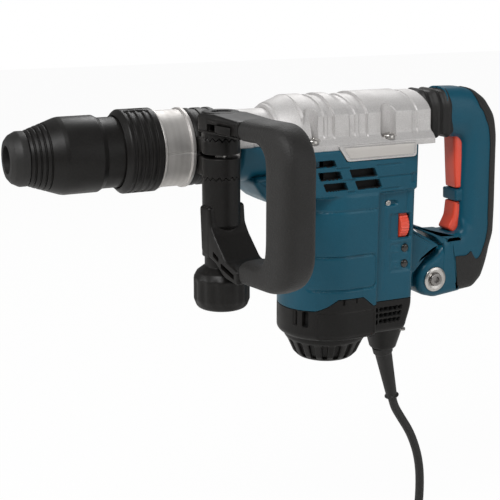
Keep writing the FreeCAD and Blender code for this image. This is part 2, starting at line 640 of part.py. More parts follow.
def upper_plan(inset=0):
    """Plan of the gear case on top of the motor, with corners that hold the cover screws."""
    half, rear = S.upper_half - inset, S.case_rear - inset
    front, taper = S.upper_front + inset, S.upper_rear_taper
    rear_half = S.case_rear_half + 2 - inset
    return [(front, -half, "round", 9), (taper, -half), (rear, -rear_half), (rear, rear_half),
            (taper, half), (front, half, "round", 9)]


def boss_plan(front, rear, half, boss_half):
    """Inner plan that leaves the corners round the cover screws solid."""
    screw_front, screw_rear = S.screw_front + S.boss_side, S.screw_rear - S.boss_side
    edges = [(front, -boss_half), (screw_front, -boss_half), (screw_front, -half),
             (screw_rear, -half), (screw_rear, -boss_half),
             (S.screw_rear + S.boss_side, -boss_half), (S.screw_rear + S.boss_side, -half),
             (rear, -half)]
    return edges + [(u, -v) for u, v in reversed(edges)]


def seam(side_low):
    """Wavy joint between motor case and bottom cap, closed far below or above."""
    line = [(S.motor_x - 60, -150.0), (S.motor_x - 29, -148.5), (S.motor_x - 21, -144.5),
            (S.motor_x - 12, -138.0), (S.motor_x + 13, -138.0), (S.motor_x + 24, -147.5),
            (S.motor_x + 27, -146.0), (S.case_rear + 20, -146.5)]
    return line + [(S.case_rear + 20, side_low), (S.motor_x - 60, side_low)]


def motor_housing():
    case = body("motor_housing")
    block(case, "XY_Plane", case_plan(), S.case_low, S.upper_low)
    block(case, "XY_Plane", upper_plan(), S.upper_low, S.case_top)
    turned(case, [(S.nose_start, -S.nose_bore), (S.nose_start, -S.nose_radius),
                  (S.nose_end, -S.nose_radius), (S.nose_end, -S.nose_bore)],
           angle=180, plane="XY_Plane")
    block(case, "XZ_Plane", [(205.0, -S.nose_radius + 3), (213.0, -S.nose_radius - 0.5),
                             (223.0, -50.0), (S.upper_front + 6, -58.0),
                             (S.upper_front + 6, -S.nose_radius + 3)],
          -S.gusset_half, S.gusset_half)
    # bracket above the pivot and the lug that carries the pivot pin
    block(case, "XZ_Plane", [(S.case_rear - 3, -80.0), (392.0, -103.5, "round", 2),
                             (397.0, -108.0, "round", 2), (388.5, -110.0, "round", 2),
                             (368.0, -130.0), (S.case_rear - 3, -134.0)],
          -S.bracket_half, S.bracket_half)
    block(case, "XZ_Plane", [(S.case_rear - 3, -124.0), (375.0, -124.0),
                             (S.pivot_x, S.pivot_z + 11.5), (S.pivot_x, S.pivot_z - 11.5),
                             (S.case_rear - 3, -146.0)], -S.lug_half, S.lug_half)
    rods(case, "XZ_Plane", [(S.pivot_x, S.pivot_z)], S.pivot_radius + 5.5, -S.lug_half, S.lug_half)
    rods(case, "XZ_Plane", [(S.pivot_x, S.pivot_z)], S.pivot_radius + S.running_gap,
         -S.lug_half - 1, S.lug_half + 1, cut=True)
    # inner space: lower tube, then the gear case with its screw corners
    block(case, "XY_Plane", case_plan(S.case_wall), S.case_low - 1, S.upper_low, cut=True)
    inner_half = S.case_rear_half - S.case_wall
    block(case, "XY_Plane", boss_plan(S.motor_x - S.case_radius + S.case_wall,
                                      S.case_rear - S.case_wall, inner_half, S.boss_half),
          S.upper_low - 1, S.case_top + 1, cut=True)
    rods(case, "YZ_Plane", [(0, 0)], S.nose_bore, S.nose_start - 1, S.upper_front + 8, cut=True)
    block(case, "XZ_Plane", seam(-170.0), -60, 60, cut=True)
    rods(case, "XY_Plane", screw_places(), S.screw_radius, -32, S.case_top + 1, cut=True)
    # cover tab recess, vents, speed wheel slot, lens seats and side screws, on both sides
    for side in (1, -1):
        near, far = sorted((side * (S.cover_flange_half - 2.4), side * 60))
        block(case, "XZ_Plane", tab_outline(0.0), near, far, cut=True)
        near, far = sorted((side * 30, side * 60))
        for row in range(3):
            top = -13.0 - S.vent_step * row
            left = 249.0 + (S.vent_lean + 0.8) * row
            block(case, "XZ_Plane", vent_outline(left, top - (2 if row else 1), 22), near, far,
                  cut=True)
        for row in range(2):
            top = -23.0 - S.vent_step * row
            block(case, "XZ_Plane", vent_outline(284.0 + (S.vent_lean + 0.8) * row, top, 26),
                  near, far, cut=True)
    wheel_half, wheel_tall = S.wheel_width / 2 + 0.4, 11.3
    block(case, "XZ_Plane", rectangle(S.wheel_x - wheel_half, S.wheel_z - wheel_tall,
                                      S.wheel_x + wheel_half, S.wheel_z + wheel_tall),
          -60, -30, cut=True)
    lenses = [(S.lens_x, S.lens_z), (S.lens_x, S.lens_z - S.lens_step)]
    rods(case, "XZ_Plane", lenses, S.lens_radius, -60, -34, cut=True)
    rods(case, "XZ_Plane", [side_screw_place()], 1.6, -60, 60, cut=True)
    rods(case, "XZ_Plane", [side_screw_place()], 3.4, -60, -S.case_rear_half + 0.9, cut=True)
    rods(case, "XZ_Plane", [side_screw_place()], 3.4, S.case_rear_half - 0.9, 60, cut=True)


def side_screw_place():
    return (S.case_step + 12.6, S.bridge_low + 4)


def screw_places():
    return [(x, side * S.screw_y) for x in (S.screw_front, S.screw_rear) for side in (1, -1)]


def vent_outline(left, top, length):
    """Leaning slot: top edge starts at left, the bottom edge is shifted to the rear."""
    low = top - S.vent_height
    return [(left + S.vent_lean, low), (left + S.vent_lean + length, low - 0.5),
            (left + length, top - 0.5), (left, top)]


def tab_outline(grow):
    """Side view of the cover's hanging label tab."""
    return [(S.tab_start - 9 - grow, S.case_top + 2), (S.tab_start - 9 - grow, S.case_top),
            (S.tab_start - grow, S.tab_low - grow), (S.tab_end + grow, S.tab_low - grow),
            (S.case_rear + 2, S.case_top), (S.case_rear + 2, S.case_top + 2)]


def cover_section(shrink):
    """Cross-section of the cover: domed top, flat sides, flared flange."""
    half, edge = S.cover_half - shrink, S.cover_edge
    rise = S.cover_top - edge
    radius = (half * half + rise * rise) / (2 * rise)
    flare, low = S.cover_flange_half, S.case_top
    return [(-flare, low), (flare, low), (flare, -1.0), (half, 3.0), (half, edge - shrink, "arc", radius),
            (-half, edge - shrink), (-half, 3.0), (-flare, -1.0)]


def gear_housing():
    cover = body("gear_housing")
    inner_end = S.cover_end - S.cover_wall
    valley = S.cover_valley
    block(cover, "YZ_Plane", cover_section(valley), S.cover_cone_end - 1, S.cover_end)
    for start, end, shrink in ((S.cover_cone_end, 257.0, 0.0), (262.5, 266.0, valley / 2),
                               (272.0, 287.0, 0.0), (293.0, 297.0, valley / 2),
                               (305.0, 351.0, 0.0), (351.0, S.cover_end, valley * 0.6)):
        block(cover, "YZ_Plane", cover_section(shrink), start, end)
    turned(cover, [(S.cover_start, S.tube_radius), (S.cover_start, S.cover_front_radius),
                   (S.cover_cone_end, S.cover_cone_radius), (S.cover_cone_end + 6, S.cover_cone_radius),
                   (S.cover_cone_end + 6, S.tube_radius)], angle=180, plane="XY_Plane")
    for side in (1, -1):
        near, far = sorted((side * (S.neck_radius + 0.3), side * S.nose_radius))
        block(cover, "XY_Plane", rectangle(S.strip_start, near, S.cover_cone_end + 1, far), 0.1,
              S.strip_high)
    # hanging label tabs
    for side in (1, -1):
        near, far = sorted((side * (S.cover_flange_half - 2.2), side * S.cover_flange_half))
        block(cover, "XZ_Plane", tab_outline(0.0 - 0.15), near, far)
    # inner space
    block(cover, "XY_Plane", boss_plan(S.cover_cone_end + 6, inner_end, S.boss_half + 4.5, S.boss_half),
          S.case_top - 1, 20, cut=True)
    arch = S.boss_half - 1
    block(cover, "YZ_Plane", [(-arch, 15.0), (arch, 15.0), (arch, 24.0, "arc", arch + 12),
                              (-arch, 24.0)], S.cover_cone_end + 6, inner_end, cut=True)
    rods(cover, "YZ_Plane", [(0, 0)], S.neck_radius, S.cover_start - 1, S.neck_end, cut=True)
    rods(cover, "YZ_Plane", [(0, 0)], S.tube_radius, S.neck_end - 1, S.cover_cone_end + 7, cut=True)
    rods(cover, "XY_Plane", screw_places(), S.scallop_radius, S.screw_head_low, 32, cut=True)
    rods(cover, "XY_Plane", screw_places(), S.screw_radius, S.case_top - 1, S.screw_head_low + 1,
         cut=True)

    plates = body("label_plates")
    for side in (1, -1):
        near, far = sorted((side * S.cover_flange_half, side * (S.cover_flange_half + 0.6)))
        block(plates, "XZ_Plane", [(S.tab_start + 6, -14.0), (S.tab_end - 5, -14.0),
                                   (S.tab_end - 5, -2.0), (S.tab_start - 1, -2.0)], near, far)

    screws = body("cover_screws")
    rods(screws, "XY_Plane", screw_places(), S.screw_head, S.screw_head_low, S.screw_head_high)
    rods(screws, "XY_Plane", screw_places(), S.screw_radius, -30, S.screw_head_low)
    rods(screws, "XY_Plane", screw_places(), 1.9, S.screw_head_high - 2, S.screw_head_high + 1,
         cut=True)

    side_screws = body("side_screws")
    for side in (1, -1):
        near, far = sorted((side * (S.case_rear_half - S.case_wall), side * (S.case_rear_half - 0.9)))
        rods(side_screws, "XZ_Plane", [side_screw_place()], 1.6, near, far)
        near, far = sorted((side * (S.case_rear_half - 0.9), side * (S.case_rear_half + 0.5)))
        rods(side_screws, "XZ_Plane", [side_screw_place()], 3.3, near, far)


def bottom_cap():
    cap = body("bottom_cap")
    block(cap, "XY_Plane", case_plan(), S.cap_low, -136.0)
    boss_top = S.cap_low + 6
    block(cap, "XY_Plane", case_plan(S.cap_wall), S.cap_low + S.cap_wall, -130, cut=True)
    block(cap, "XZ_Plane", seam(-120.0), -60, 60, cut=True)
    rods(cap, "XY_Plane", [(S.motor_x, 0)], S.grille_top_radius - 3, S.cap_low - 1,
         S.cap_low + S.cap_wall + 1, cut=True)
    bearing_seat = S.commutator_low - 4 - S.bearing_width
    block(cap, "XY_Plane", rectangle(S.motor_x - 42, -3, S.motor_x + 42, 3), S.cap_low,
          bearing_seat)
    rods(cap, "XY_Plane", [(S.motor_x, 0)], S.bearing_radius, S.cap_low, bearing_seat + 6)
    rods(cap, "XY_Plane", [(S.motor_x, 0)], S.bearing_radius - 2, bearing_seat,
         bearing_seat + 7, cut=True)
    rods(cap, "XY_Plane", [(S.motor_x, 0)], S.shaft_radius + 1, S.cap_low - 1,
         bearing_seat + 1, cut=True)
    for side in (1, -1):
        near, far = sorted((side * 30, side * 60))
        for slot in range(2):
            left = S.motor_x - 33 + 7 * slot
            block(cap, "XZ_Plane", rectangle(left, -167, left + 3.4, -153), near, far, cut=True)
        for slot in range(5):
            left = S.case_step + 4 + 6 * slot
            block(cap, "XZ_Plane", rectangle(left, -167, left + 3.2, -152), near, far, cut=True)
    rods(cap, "XY_Plane", cap_screw_places(), 1.6, S.cap_low - 1, boss_top, cut=True)
    cord_boss(cap)

    grille = body("intake_grille", (S.motor_x, 0, 0))
    wall = 2.0
    top_r, low_r = S.grille_top_radius - 3.2, S.grille_low_radius
    turned(grille, [(0, S.grille_low), (low_r, S.grille_low), (top_r, S.cap_low - 4),
                    (top_r, S.cap_low), (top_r - wall, S.cap_low),
                    (top_r - wall, S.cap_low - 4), (low_r - wall, S.grille_low + wall),
                    (0, S.grille_low + wall)], "V_Axis")
    slot = block(grille, "XY_Plane", rectangle(10.0, -1.6, S.grille_top_radius, 1.6),
                 S.grille_low - 1, S.cap_low - 6, cut=True)
    around(grille, [slot], S.grille_ribs)

    screws = body("cap_screws")
    rods(screws, "XY_Plane", cap_screw_places(), 1.6, S.cap_low, boss_top)
    rods(screws, "XY_Plane", cap_screw_places(), 3.0, S.cap_low - 1.8, S.cap_low)


def cord_boss(cap):
    """Hollow cone under the cap's rear that the cord sleeve sits in."""
    boss = cap.newObject("PartDesign::AdditiveCone", "cord_boss")
    boss.setExpression("Radius1", S.cap_boss_radius.text)
    boss.setExpression("Radius2", S.cap_boss_root.text)
    boss.setExpression("Height", (S.cap_low - S.cap_boss_low).text)
    boss.Placement = Placement(Vector(float(S.cap_boss_x), 0, float(S.cap_boss_low)), Rotation())
    boss.setExpression("Placement.Base.x", S.cap_boss_x.text)
    boss.setExpression("Placement.Base.z", S.cap_boss_low.text)
    rods(cap, "XY_Plane", [(S.cap_boss_x, 0)], S.cap_boss_bore, S.cap_boss_low - 1, S.cap_low,
         cut=True)


def cap_screw_places():
    return [(S.case_rear - 6, side * (S.case_rear_half - 7)) for side in (1, -1)]


def electronics():
    module = body("control_module")
    block(module, "XZ_Plane", rectangle(S.case_rear - 23, -134.0, S.case_rear - S.case_wall - 0.2,
                                        -68.0), -10, 28)
    wheel = body("speed_wheel", (S.wheel_x, 0, S.wheel_z))
    centre_y = -(S.case_rear_half + S.wheel_proud - S.wheel_radius)
    half = S.wheel_width / 2
    rods(wheel, "YZ_Plane", [(centre_y, 0)], S.wheel_radius, -half, half)
    rods(wheel, "YZ_Plane", [(centre_y, 0)], 2.0, -half - 4, half + 4)
    lenses = body("indicator_lenses")
    places = [(S.lens_x, S.lens_z), (S.lens_x, S.lens_z - S.lens_step)]
    rods(lenses, "XZ_Plane", places, S.lens_radius, -S.case_rear_half - 0.6,
         -S.case_rear_half + 4)


# ---------------------------------------------------------------- rear handle

def handle_outline(cut_at_rubber=True):
    """Side view of the D handle in front of the rubber."""
    pivot_low = S.pivot_z - S.handle_end_radius
    return [(S.bellows_end + 0.3, S.handle_top), (434.0, S.handle_top - 2.2),
            (S.rubber_x - 10, 22.0), (S.rubber_x, 2.0), (S.rubber_x, -120.0),
            (S.rubber_x - 6, -126.0), (436.0, -129.0), (428.5, -134.0), (428.0, S.handle_low),
            (S.pivot_x + 4, pivot_low + 0.6, "round", 10), (S.pivot_x - S.handle_end_radius, pivot_low + 3, "round", 15),
            (S.pivot_x - S.handle_end_radius, S.pivot_z + 14, "round", 14), (S.pivot_x + 1, S.pivot_z + 22.5, "round", 6),
            (403.0, -108.5, "round", 2), (394.0, -99.0, "round", 2), (371.0, -88.5, "round", 1.5), (374.0, -86.0, "round", 1.5),
            (402.0, S.arm_top, "round", 10), (S.grip_front, S.arm_top - 1, "round", 3),
            (S.grip_front, -8.0, "round", 10), (S.bellows_end + 0.3, -5.0)]


def rubber_outline():
    return [(434.0, S.handle_top - 2.2), (446.0, 30.0), (457.0, 18.0, "round", 12),
            (464.0, -6.0, "round", 30), (S.handle_rear, -78.0, "round", 40),
            (S.handle_rear, -106.0, "round", 14), (452.0, -143.0, "round", 12),
            (444.0, S.handle_low, "round", 8), (428.0, S.handle_low), (428.5, -134.0),
            (436.0, -129.0), (S.rubber_x - 6, -126.0), (S.rubber_x, -120.0), (S.rubber_x, 2.0),
            (S.rubber_x - 10, 22.0)]


def rear_handle():
    for label, side in (("handle_shell_left", -1), ("handle_shell_right", 1)):
        shell = body(label)
        near, far = sorted((Size(0.0), side * S.handle_half))
        block(shell, "XZ_Plane", handle_outline(), near, far)
        near, far = sorted((Size(side * -1.0), side * (S.handle_half - S.handle_wall)))
        block(shell, "XZ_Plane", rectangle(S.grip_front + 3, -92.0, S.rubber_x - 3, -10.0),
              near, far, cut=True)
        near, far = sorted((Size(side * -1.0), side * (S.trigger_half + 0.4)))
        block(shell, "XZ_Plane", rectangle(S.grip_front - 4, -106.0, S.grip_front + 6, -4.0),
              near, far, cut=True)
        near, far = sorted((Size(side * -1.0), side * (S.trigger_half + 0.4)))
        for corners in (rectangle(S.grip_front - 20, -106.0, S.grip_front + 1, -90.0),
                        rectangle(S.trigger_front - 2, -20.0, S.grip_front + 1, -4.0)):
            block(shell, "XZ_Plane", corners, near, far, cut=True)
        near, far = sorted((Size(side * -1.0), side * (S.lug_half + 0.5)))
        block(shell, "XZ_Plane", [(360.0, S.pivot_z - 22), (S.pivot_x + 14, S.pivot_z - 22),
                                  (S.pivot_x + 14, S.pivot_z + 14), (386.0, S.pivot_z + 24),
                                  (360.0, S.pivot_z + 32)], near, far, cut=True)
        rods(shell, "XZ_Plane", [(S.pivot_x, S.pivot_z)], S.pivot_radius, -S.handle_half,
             S.handle_half, cut=True)
        near, far = sorted((Size(0.0), side * (S.trigger_half + 0.4)))
        block(shell, "XZ_Plane", rectangle(S.trigger_front + 4.8, -68.6, S.grip_front + 4, -58.2),
              near, far)

    rubber = body("handle_rubber")
    block(rubber, "XZ_Plane", rubber_outline(), -S.handle_half, S.handle_half)

    switch = body("switch_module")
    block(switch, "XZ_Plane", rectangle(S.grip_front + 7, -88.0, S.rubber_x - 3.2, -14.0), -11, 11)

    trigger = body("trigger")
    block(trigger, "XZ_Plane", [(S.trigger_front, -6.4), (S.grip_front - 1, -6.4, "round", 3),
                                (S.grip_front + 2, -57.0), (S.trigger_front + 5, -57.0, "round", 2),
                                (S.trigger_front - 0.2, -20.0, "round", 30)],
          -S.trigger_half, S.trigger_half)
    lever = body("lock_lever")
    block(lever, "XZ_Plane", [(417.6, -69.5, "round", 1), (S.grip_front + 1, -69.5), (S.grip_front + 2, -100.0, "round", 4),
                              (419.0, -103.0, "round", 2), (409.0, -94.5, "round", 2)],
          -S.trigger_half + 0.5, S.trigger_half - 0.5)
    coil_spring("trigger_spring", (S.grip_front + 2.2, 0, -50), Size(4.5), 3.2, 0.5, 2.5)

    pin = body("pivot_pin", (S.pivot_x, 0, S.pivot_z))
    rods(pin, "XZ_Plane", [(0, 0)], S.pivot_radius, -S.handle_half - 0.1, S.handle_half + 0.1)
    washers = body("pivot_washers", (S.pivot_x, 0, S.pivot_z))
    for side in (1, -1):
        near, far = sorted((side * (S.handle_half + 0.1), side * (S.handle_half + 0.1 + S.washer_thick)))
        rods(washers, "XZ_Plane", [(0, 0)], S.washer_radius, near, far)
    for side in (1, -1):
        near, far = sorted((side * (S.handle_half + 1.4), side * (S.handle_half + 6)))
        rods(washers, "XZ_Plane", [(0, 0)], 5.2, near, far, cut=True)
    for side in (1, -1):
        near, far = sorted((side * (S.handle_half + 0.1), side * (S.handle_half + 3.6)))
        rods(pin, "XZ_Plane", [(0, 0)], 4.4, near, far)
        near, far = sorted((side * (S.handle_half + 2.2), side * (S.handle_half + 6)))
        rods(pin, "XZ_Plane", [(0, 0)], 2.2, near, far, cut=True)
    for side in (1, -1):
        near, far = sorted((side * (S.handle_half - 1), side * (S.handle_half + 6)))
        rods(washers, "XZ_Plane", [(0, 0)], 4.4, near, far, cut=True)

    bellows = body("bellows")
    def section(shrink):
        half, low, high = S.bellows_half - shrink, S.bellows_low + shrink, S.bellows_high - shrink
        return [(-half, low, "round", 4), (half, low, "round", 4), (half, high, "round", 12),
                (-half, high, "round", 12)]
    length = S.bellows_end - S.bellows_start
    block(bellows, "YZ_Plane", section(S.rib_step), S.bellows_start, S.bellows_end)
    for number in range(3):
        start = S.bellows_start + length * (0.04 + 0.33 * number)
        block(bellows, "YZ_Plane", section(0.0), start, start + length * 0.22)
    block(bellows, "YZ_Plane", section(S.rib_step + 2.0), S.bellows_start - 1, S.bellows_end + 1,
          cut=True)
    coil_spring("handle_spring", (S.bellows_start, 0, 16), length, 11.0, 1.6, 6)


# ---------------------------------------------------------------- side handle

def side_handle():
    column = (S.column_x, S.column_y, 0)
    band = body("clamp_band")
    rods(band, "YZ_Plane", [(0, 0)], S.band_radius, S.band_start, S.band_end)
    rods(band, "XY_Plane", [(S.column_x, S.column_y)], S.column_radius, S.joint_low,
         S.joint_high - 0.3)
    block(band, "XY_Plane", rectangle(S.band_start, S.column_y, S.band_end, -S.neck_radius + 1),
          S.joint_low, S.joint_high - 0.3)
    rods(band, "YZ_Plane", [(0, 0)], S.neck_radius + S.running_gap, S.band_start - 1,
         S.band_end + 1, cut=True)
    rods(band, "XY_Plane", [(S.column_x, S.column_y)], S.side_bolt_radius + 0.4, S.joint_low - 1,
         S.joint_high + 1, cut=True)
    block(band, "XY_Plane", rectangle(S.band_start - 1, S.column_y - 20, S.band_end + 1, -20),
          S.ear_gap_low, S.ear_gap_high, cut=True)

    frame = body("side_handle_frame", column, S.swing_rest)
    hub = S.column_radius
    rods(frame, "XY_Plane", [(0, 0)], hub, S.joint_high, S.hub_top)
    rods(frame, "XY_Plane", [(0, 0)], hub, -56.0, S.joint_low - 0.3)
    arm, reach = S.arm_half, S.arm_reach
    block(frame, "XY_Plane", [(-arm, -reach), (arm, -reach), (hub, 2.0), (-hub, 2.0)], 19.0, 28.0)
    block(frame, "XY_Plane", [(-arm, -9.0), (arm, -9.0), (arm - 2, 13.0, "round", 5), (-arm + 2, 13.0, "round", 5)],
          S.hub_low, -40.0)
    block(frame, "YZ_Plane", [(-9.0, -40.0), (-9.0, -74.0), (-30.0, -84.0), (-reach, -88.0),
                              (-reach, -95.5), (-28.0, -92.0), (-15.6, S.hub_low), (0, -75.0)],
          -arm, arm)
    inset = S.core_inset
    top, low = S.side_top - inset, S.side_low + inset
    outer = S.grip_reach + S.grip_thick / 2 - inset
    inner = S.grip_reach - S.grip_thick / 2 + inset
    block(frame, "YZ_Plane", [(-reach + 1, top), (-outer, top, "round", S.side_corner - inset),
                              (-outer, low, "round", S.side_corner - inset), (-reach + 1, low),
                              (-reach + 1, S.side_open_low - inset),
                              (-inner, S.side_open_low - inset, "round", 6),
                              (-inner, S.side_open_high + inset, "round", 6),
                              (-reach + 1, S.side_open_high + inset)],
          -S.core_half, S.core_half)
    rods(frame, "XY_Plane", [(0, 0)], S.side_bolt_radius + 0.2, -100, 40, cut=True)
    rods(frame, "XY_Plane", [(0, 0)], 8.0, S.hub_top - 8, S.hub_top + 1, cut=True)

    rubber = body("side_grip_rubber", column, S.swing_rest)
    outer, inner = outer + inset, inner - inset
    half = S.grip_half
    corner, small = S.side_corner, S.side_inner_corner
    block(rubber, "YZ_Plane", [(-reach - 0.02, S.side_top), (-outer, S.side_top, "round", corner),
                               (-outer, S.side_low, "round", corner), (-reach - 0.02, S.side_low),
                               (-reach - 0.02, S.side_open_low),
                               (-inner, S.side_open_low, "round", small),
                               (-inner, S.side_open_high, "round", small),
                               (-reach - 0.02, S.side_open_high)], -half, half)
    outer, inner = outer - inset, inner + inset
    block(rubber, "YZ_Plane", [(-reach + 1, top), (-outer, top, "round", corner - inset),
                               (-outer, low, "round", corner - inset), (-reach + 1, low),
                               (-reach + 1, S.side_open_low - inset),
                               (-inner, S.side_open_low - inset, "round", 6),
                               (-inner, S.side_open_high + inset, "round", 6),
                               (-reach + 1, S.side_open_high + inset)],
          -S.core_half, S.core_half, cut=True)

    bolt = body("handle_bolt", column)
    head_low = S.hub_top - 8
    rods(bolt, "XY_Plane", [(0, 0)], S.side_bolt_radius, S.knob_low + 12, head_low)
    hexagon = [(7.4 * math.cos(math.radians(60 * k)), 7.4 * math.sin(math.radians(60 * k)))
               for k in range(6)]
    block(bolt, "XY_Plane", hexagon, head_low, S.hub_top - 2)

    knob = body("clamp_knob", column)
    shoulder, low = S.knob_shoulder, S.knob_low
    turned(knob, [(S.side_bolt_radius + S.running_gap, S.hub_low - 0.3),
                  (S.knob_neck, S.hub_low - 0.3), (S.knob_neck, S.knob_shoulder + 5.5),
                  (S.knob_radius, shoulder, "round", 3), (S.knob_radius, low, "round", 7),
                  (0, low), (0, low + 11.5), (S.side_bolt_radius + S.running_gap, low + 11.5)],
           "V_Axis")
    flute = rods(knob, "XY_Plane", [(S.knob_radius + 3.2, 0)], 4.2, low - 1, shoulder - 2, cut=True)
    around(knob, [flute], 10)


# ------------------------------------------------------------------------ cord

# Points of the route from the cord sleeve down to the coil, chosen by hand.
CORD_ROUTE = [
    (363.0, 0.0, -257.0), (365.4, 0.0, -266.8), (373.0, 0.0, -279.0), (387.0, -1.0, -301.0),
    (395.5, -4.0, -330.0), (394.0, -9.0, -362.0), (385.0, -17.0, -392.0),
    (368.0, -27.0, -417.0), (343.0, -39.0, -435.0), (311.0, -51.0, -443.75),
    (277.0, -58.0, -443.75),
]
PLUG_ROUTE = [(277.0, -186.0, -443.75), (313.0, -189.0, -443.0), (347.0, -184.0, -436.0)]


def cord_points(route):
    return [Vector(x - float(S.grip_x), y, z - float(S.grip_z)) for x, y, z in route]


def tube_along(points, radius):
    """Tube of straight runs joined by tangent arcs, each 0.45 of its shorter run long."""
    edges, start, length = [], points[0], 0.0
    for before, here, after in zip(points, points[1:], points[2:]):
        into, out = here - before, after - here
        turn = into.getAngle(out)
        cut = 0.45 * min(into.Length, out.Length)
        bend = cut / math.tan(turn / 2)
        into.normalize()
        out.normalize()
        first, last = here - into * cut, here + out * cut
        sag = bend * (1 / math.cos(turn / 2) - 1)
        middle = here + (out - into).normalize() * sag
        edges += [Part.LineSegment(start, first).toShape(), Part.Arc(first, middle, last).toShape()]
        start = last
        print(f"cord bend: radius {bend:.1f} mm, turn {math.degrees(turn):.1f} degrees")
    edges.append(Part.LineSegment(start, points[-1]).toShape())
    path = Part.Wire(edges)
    circle = Part.makeCircle(radius, points[0], points[1] - points[0])
    tube = path.makePipeShell([Part.Wire(circle)], True, False)
    ideal = math.pi * radius * radius * path.Length
    print(f"cord tube: {path.Length:.0f} mm, volume {tube.Volume / ideal:.4f} of section x length")
    if abs(tube.Volume / ideal - 1) > 0.002:
        raise RuntimeError("the cord's tube is not its section times its length")
    return tube, path.Length


def cord():
    low = cord_points(CORD_ROUTE)[0]
    along = (cord_points(CORD_ROUTE)[1] - low).normalize()
    top = low - along * float(S.sleeve_length)
    axis = low - top
    solid_at_frame("cord_sleeve", Part.makeCone(9.8, 6.2, axis.Length, top, axis))

    radius = float(S.cord_radius)
    main, main_length = tube_along(cord_points(CORD_ROUTE), radius)
    tail, tail_length = tube_along(cord_points(PLUG_ROUTE), radius)
    solid_at_frame("power_cord", Part.Compound([main, tail]))

    coil_start, coil_end = CORD_ROUTE[-1], PLUG_ROUTE[0]
    centre = Vector(coil_start[0] - float(S.grip_x), (coil_start[1] + coil_end[1]) / 2, 0)
    spare = float(S.cord_length) - main_length - tail_length
    print(f"cord coil holds {spare:.0f} mm")
    inner, outer = float(S.coil_radius) - 3 * radius, float(S.coil_radius) + 3 * radius
    floor = float(S.floor_z - S.grip_z)
    height = float(S.coil_layers) * 2 * radius
    centre.z = floor
    ring = Part.makeCylinder(outer, height, centre).cut(Part.makeCylinder(inner, height, centre))
    solid_at_frame("cord_coil", ring)


def solid_at_frame(label, shape):
    """A shape whose points already stand in the frame."""
    new = solid(label, shape)
    new.setExpression("Placement.Base.x", None)
    new.setExpression("Placement.Base.z", None)
    new.Placement = Placement()
    return new


def plug():
    x, y, z = PLUG_ROUTE[-1]
    housing = body("plug_body", (x, y, z))
    block(housing, "YZ_Plane", rectangle(-15.0, -12.0, 15.0, 16.0, 8), 26.0, 52.0)
    turned(housing, [(0, 0), (0, 6.5), (27.0, 10.5), (27.0, 0)])
    pins = body("plug_pins", (x + 52.0, y, z))
    for side in (1, -1):
        near, far = sorted((side * 5.6, side * 7.1))
        block(pins, "XZ_Plane", rectangle(0.0, -1.0, 17.0, 5.4), near, far)
    rods(pins, "YZ_Plane", [(0, 10.5)], 2.4, 0.0, 20.0)


tool_holder()
barrel()
gear_train()
motor()
motor_housing()
gear_housing()
bottom_cap()
electronics()
rear_handle()
side_handle()
cord()
plug()
doc.recompute()

for item in doc.Objects:
    broken = {"Invalid", "Error"} & set(item.State)
    if broken:
        raise RuntimeError(f"{item.Label}: {item.State}")
idle = [item.Label for item in doc.Objects
        if item.TypeId in ("PartDesign::Pocket", "PartDesign::Groove")
        and item.Shape.Volume > item.BaseFeature.Shape.Volume - 1e-3]
if idle:
    raise RuntimeError(f"these cut nothing: {idle}")
os.makedirs("parts", exist_ok=True)
for item in PARTS:
    shape = item.Shape
    if shape.isNull() or not shape.isValid():
        raise RuntimeError(f"{item.Label}: bad shape")
    shape.exportStep(os.path.join("parts", f"{item.Label}.step"))
    print(f"{item.Label}: {len(shape.Solids)} solid(s), {shape.Volume / 1000:.1f} cm3")
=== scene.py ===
"""Electric chipping hammer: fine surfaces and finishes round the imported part.

Shapes are written in tool millimetres: X runs along the barrel from the nose to the
rear handle, Z is up and the barrel's axis is y = z = 0. place() turns them into the
frame's metres, whose origin is the middle of the rear grip.
"""

import logging
import math
from dataclasses import dataclass, field
from enum import Enum
from typing import Callable, Sequence

import bmesh
import bpy
import numpy as np
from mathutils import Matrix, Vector


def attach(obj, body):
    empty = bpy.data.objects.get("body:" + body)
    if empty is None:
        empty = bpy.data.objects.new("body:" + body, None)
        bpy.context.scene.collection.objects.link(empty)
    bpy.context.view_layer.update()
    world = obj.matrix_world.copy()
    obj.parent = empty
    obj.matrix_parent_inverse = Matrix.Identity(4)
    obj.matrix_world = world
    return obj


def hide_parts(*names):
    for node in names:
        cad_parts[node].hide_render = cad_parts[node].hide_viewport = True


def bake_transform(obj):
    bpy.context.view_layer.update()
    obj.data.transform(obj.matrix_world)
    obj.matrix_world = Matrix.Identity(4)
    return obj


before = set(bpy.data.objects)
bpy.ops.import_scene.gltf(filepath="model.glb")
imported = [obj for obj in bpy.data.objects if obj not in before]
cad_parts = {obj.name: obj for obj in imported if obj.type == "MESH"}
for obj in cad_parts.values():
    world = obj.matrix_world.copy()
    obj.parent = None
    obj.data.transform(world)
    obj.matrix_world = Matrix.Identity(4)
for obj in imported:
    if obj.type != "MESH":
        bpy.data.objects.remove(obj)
LOG = logging.getLogger("hammer")
GRIP_MM = np.array((446.0, 0.0, -50.0))
MM = 0.001
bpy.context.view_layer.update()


def place(points: np.ndarray) -> np.ndarray:
    """Tool millimetres to frame metres.

    Args:
        points: array whose last axis is x, y, z in tool millimetres.
    Returns:
        The same points in the frame, in metres.
    """
    return (np.asarray(points, float) - GRIP_MM) * MM


# ------------------------------------------------------------------ finishes

def linear(code: str) -> tuple[float, float, float, float]:
    """An sRGB hex value such as "#1f5a73" as linear red, green, blue and alpha."""
    parts = [int(code[i:i + 2], 16) / 255 for i in (1, 3, 5)]
    return (*[p / 12.92 if p <= 0.04045 else ((p + 0.055) / 1.055) ** 2.4 for p in parts], 1.0)


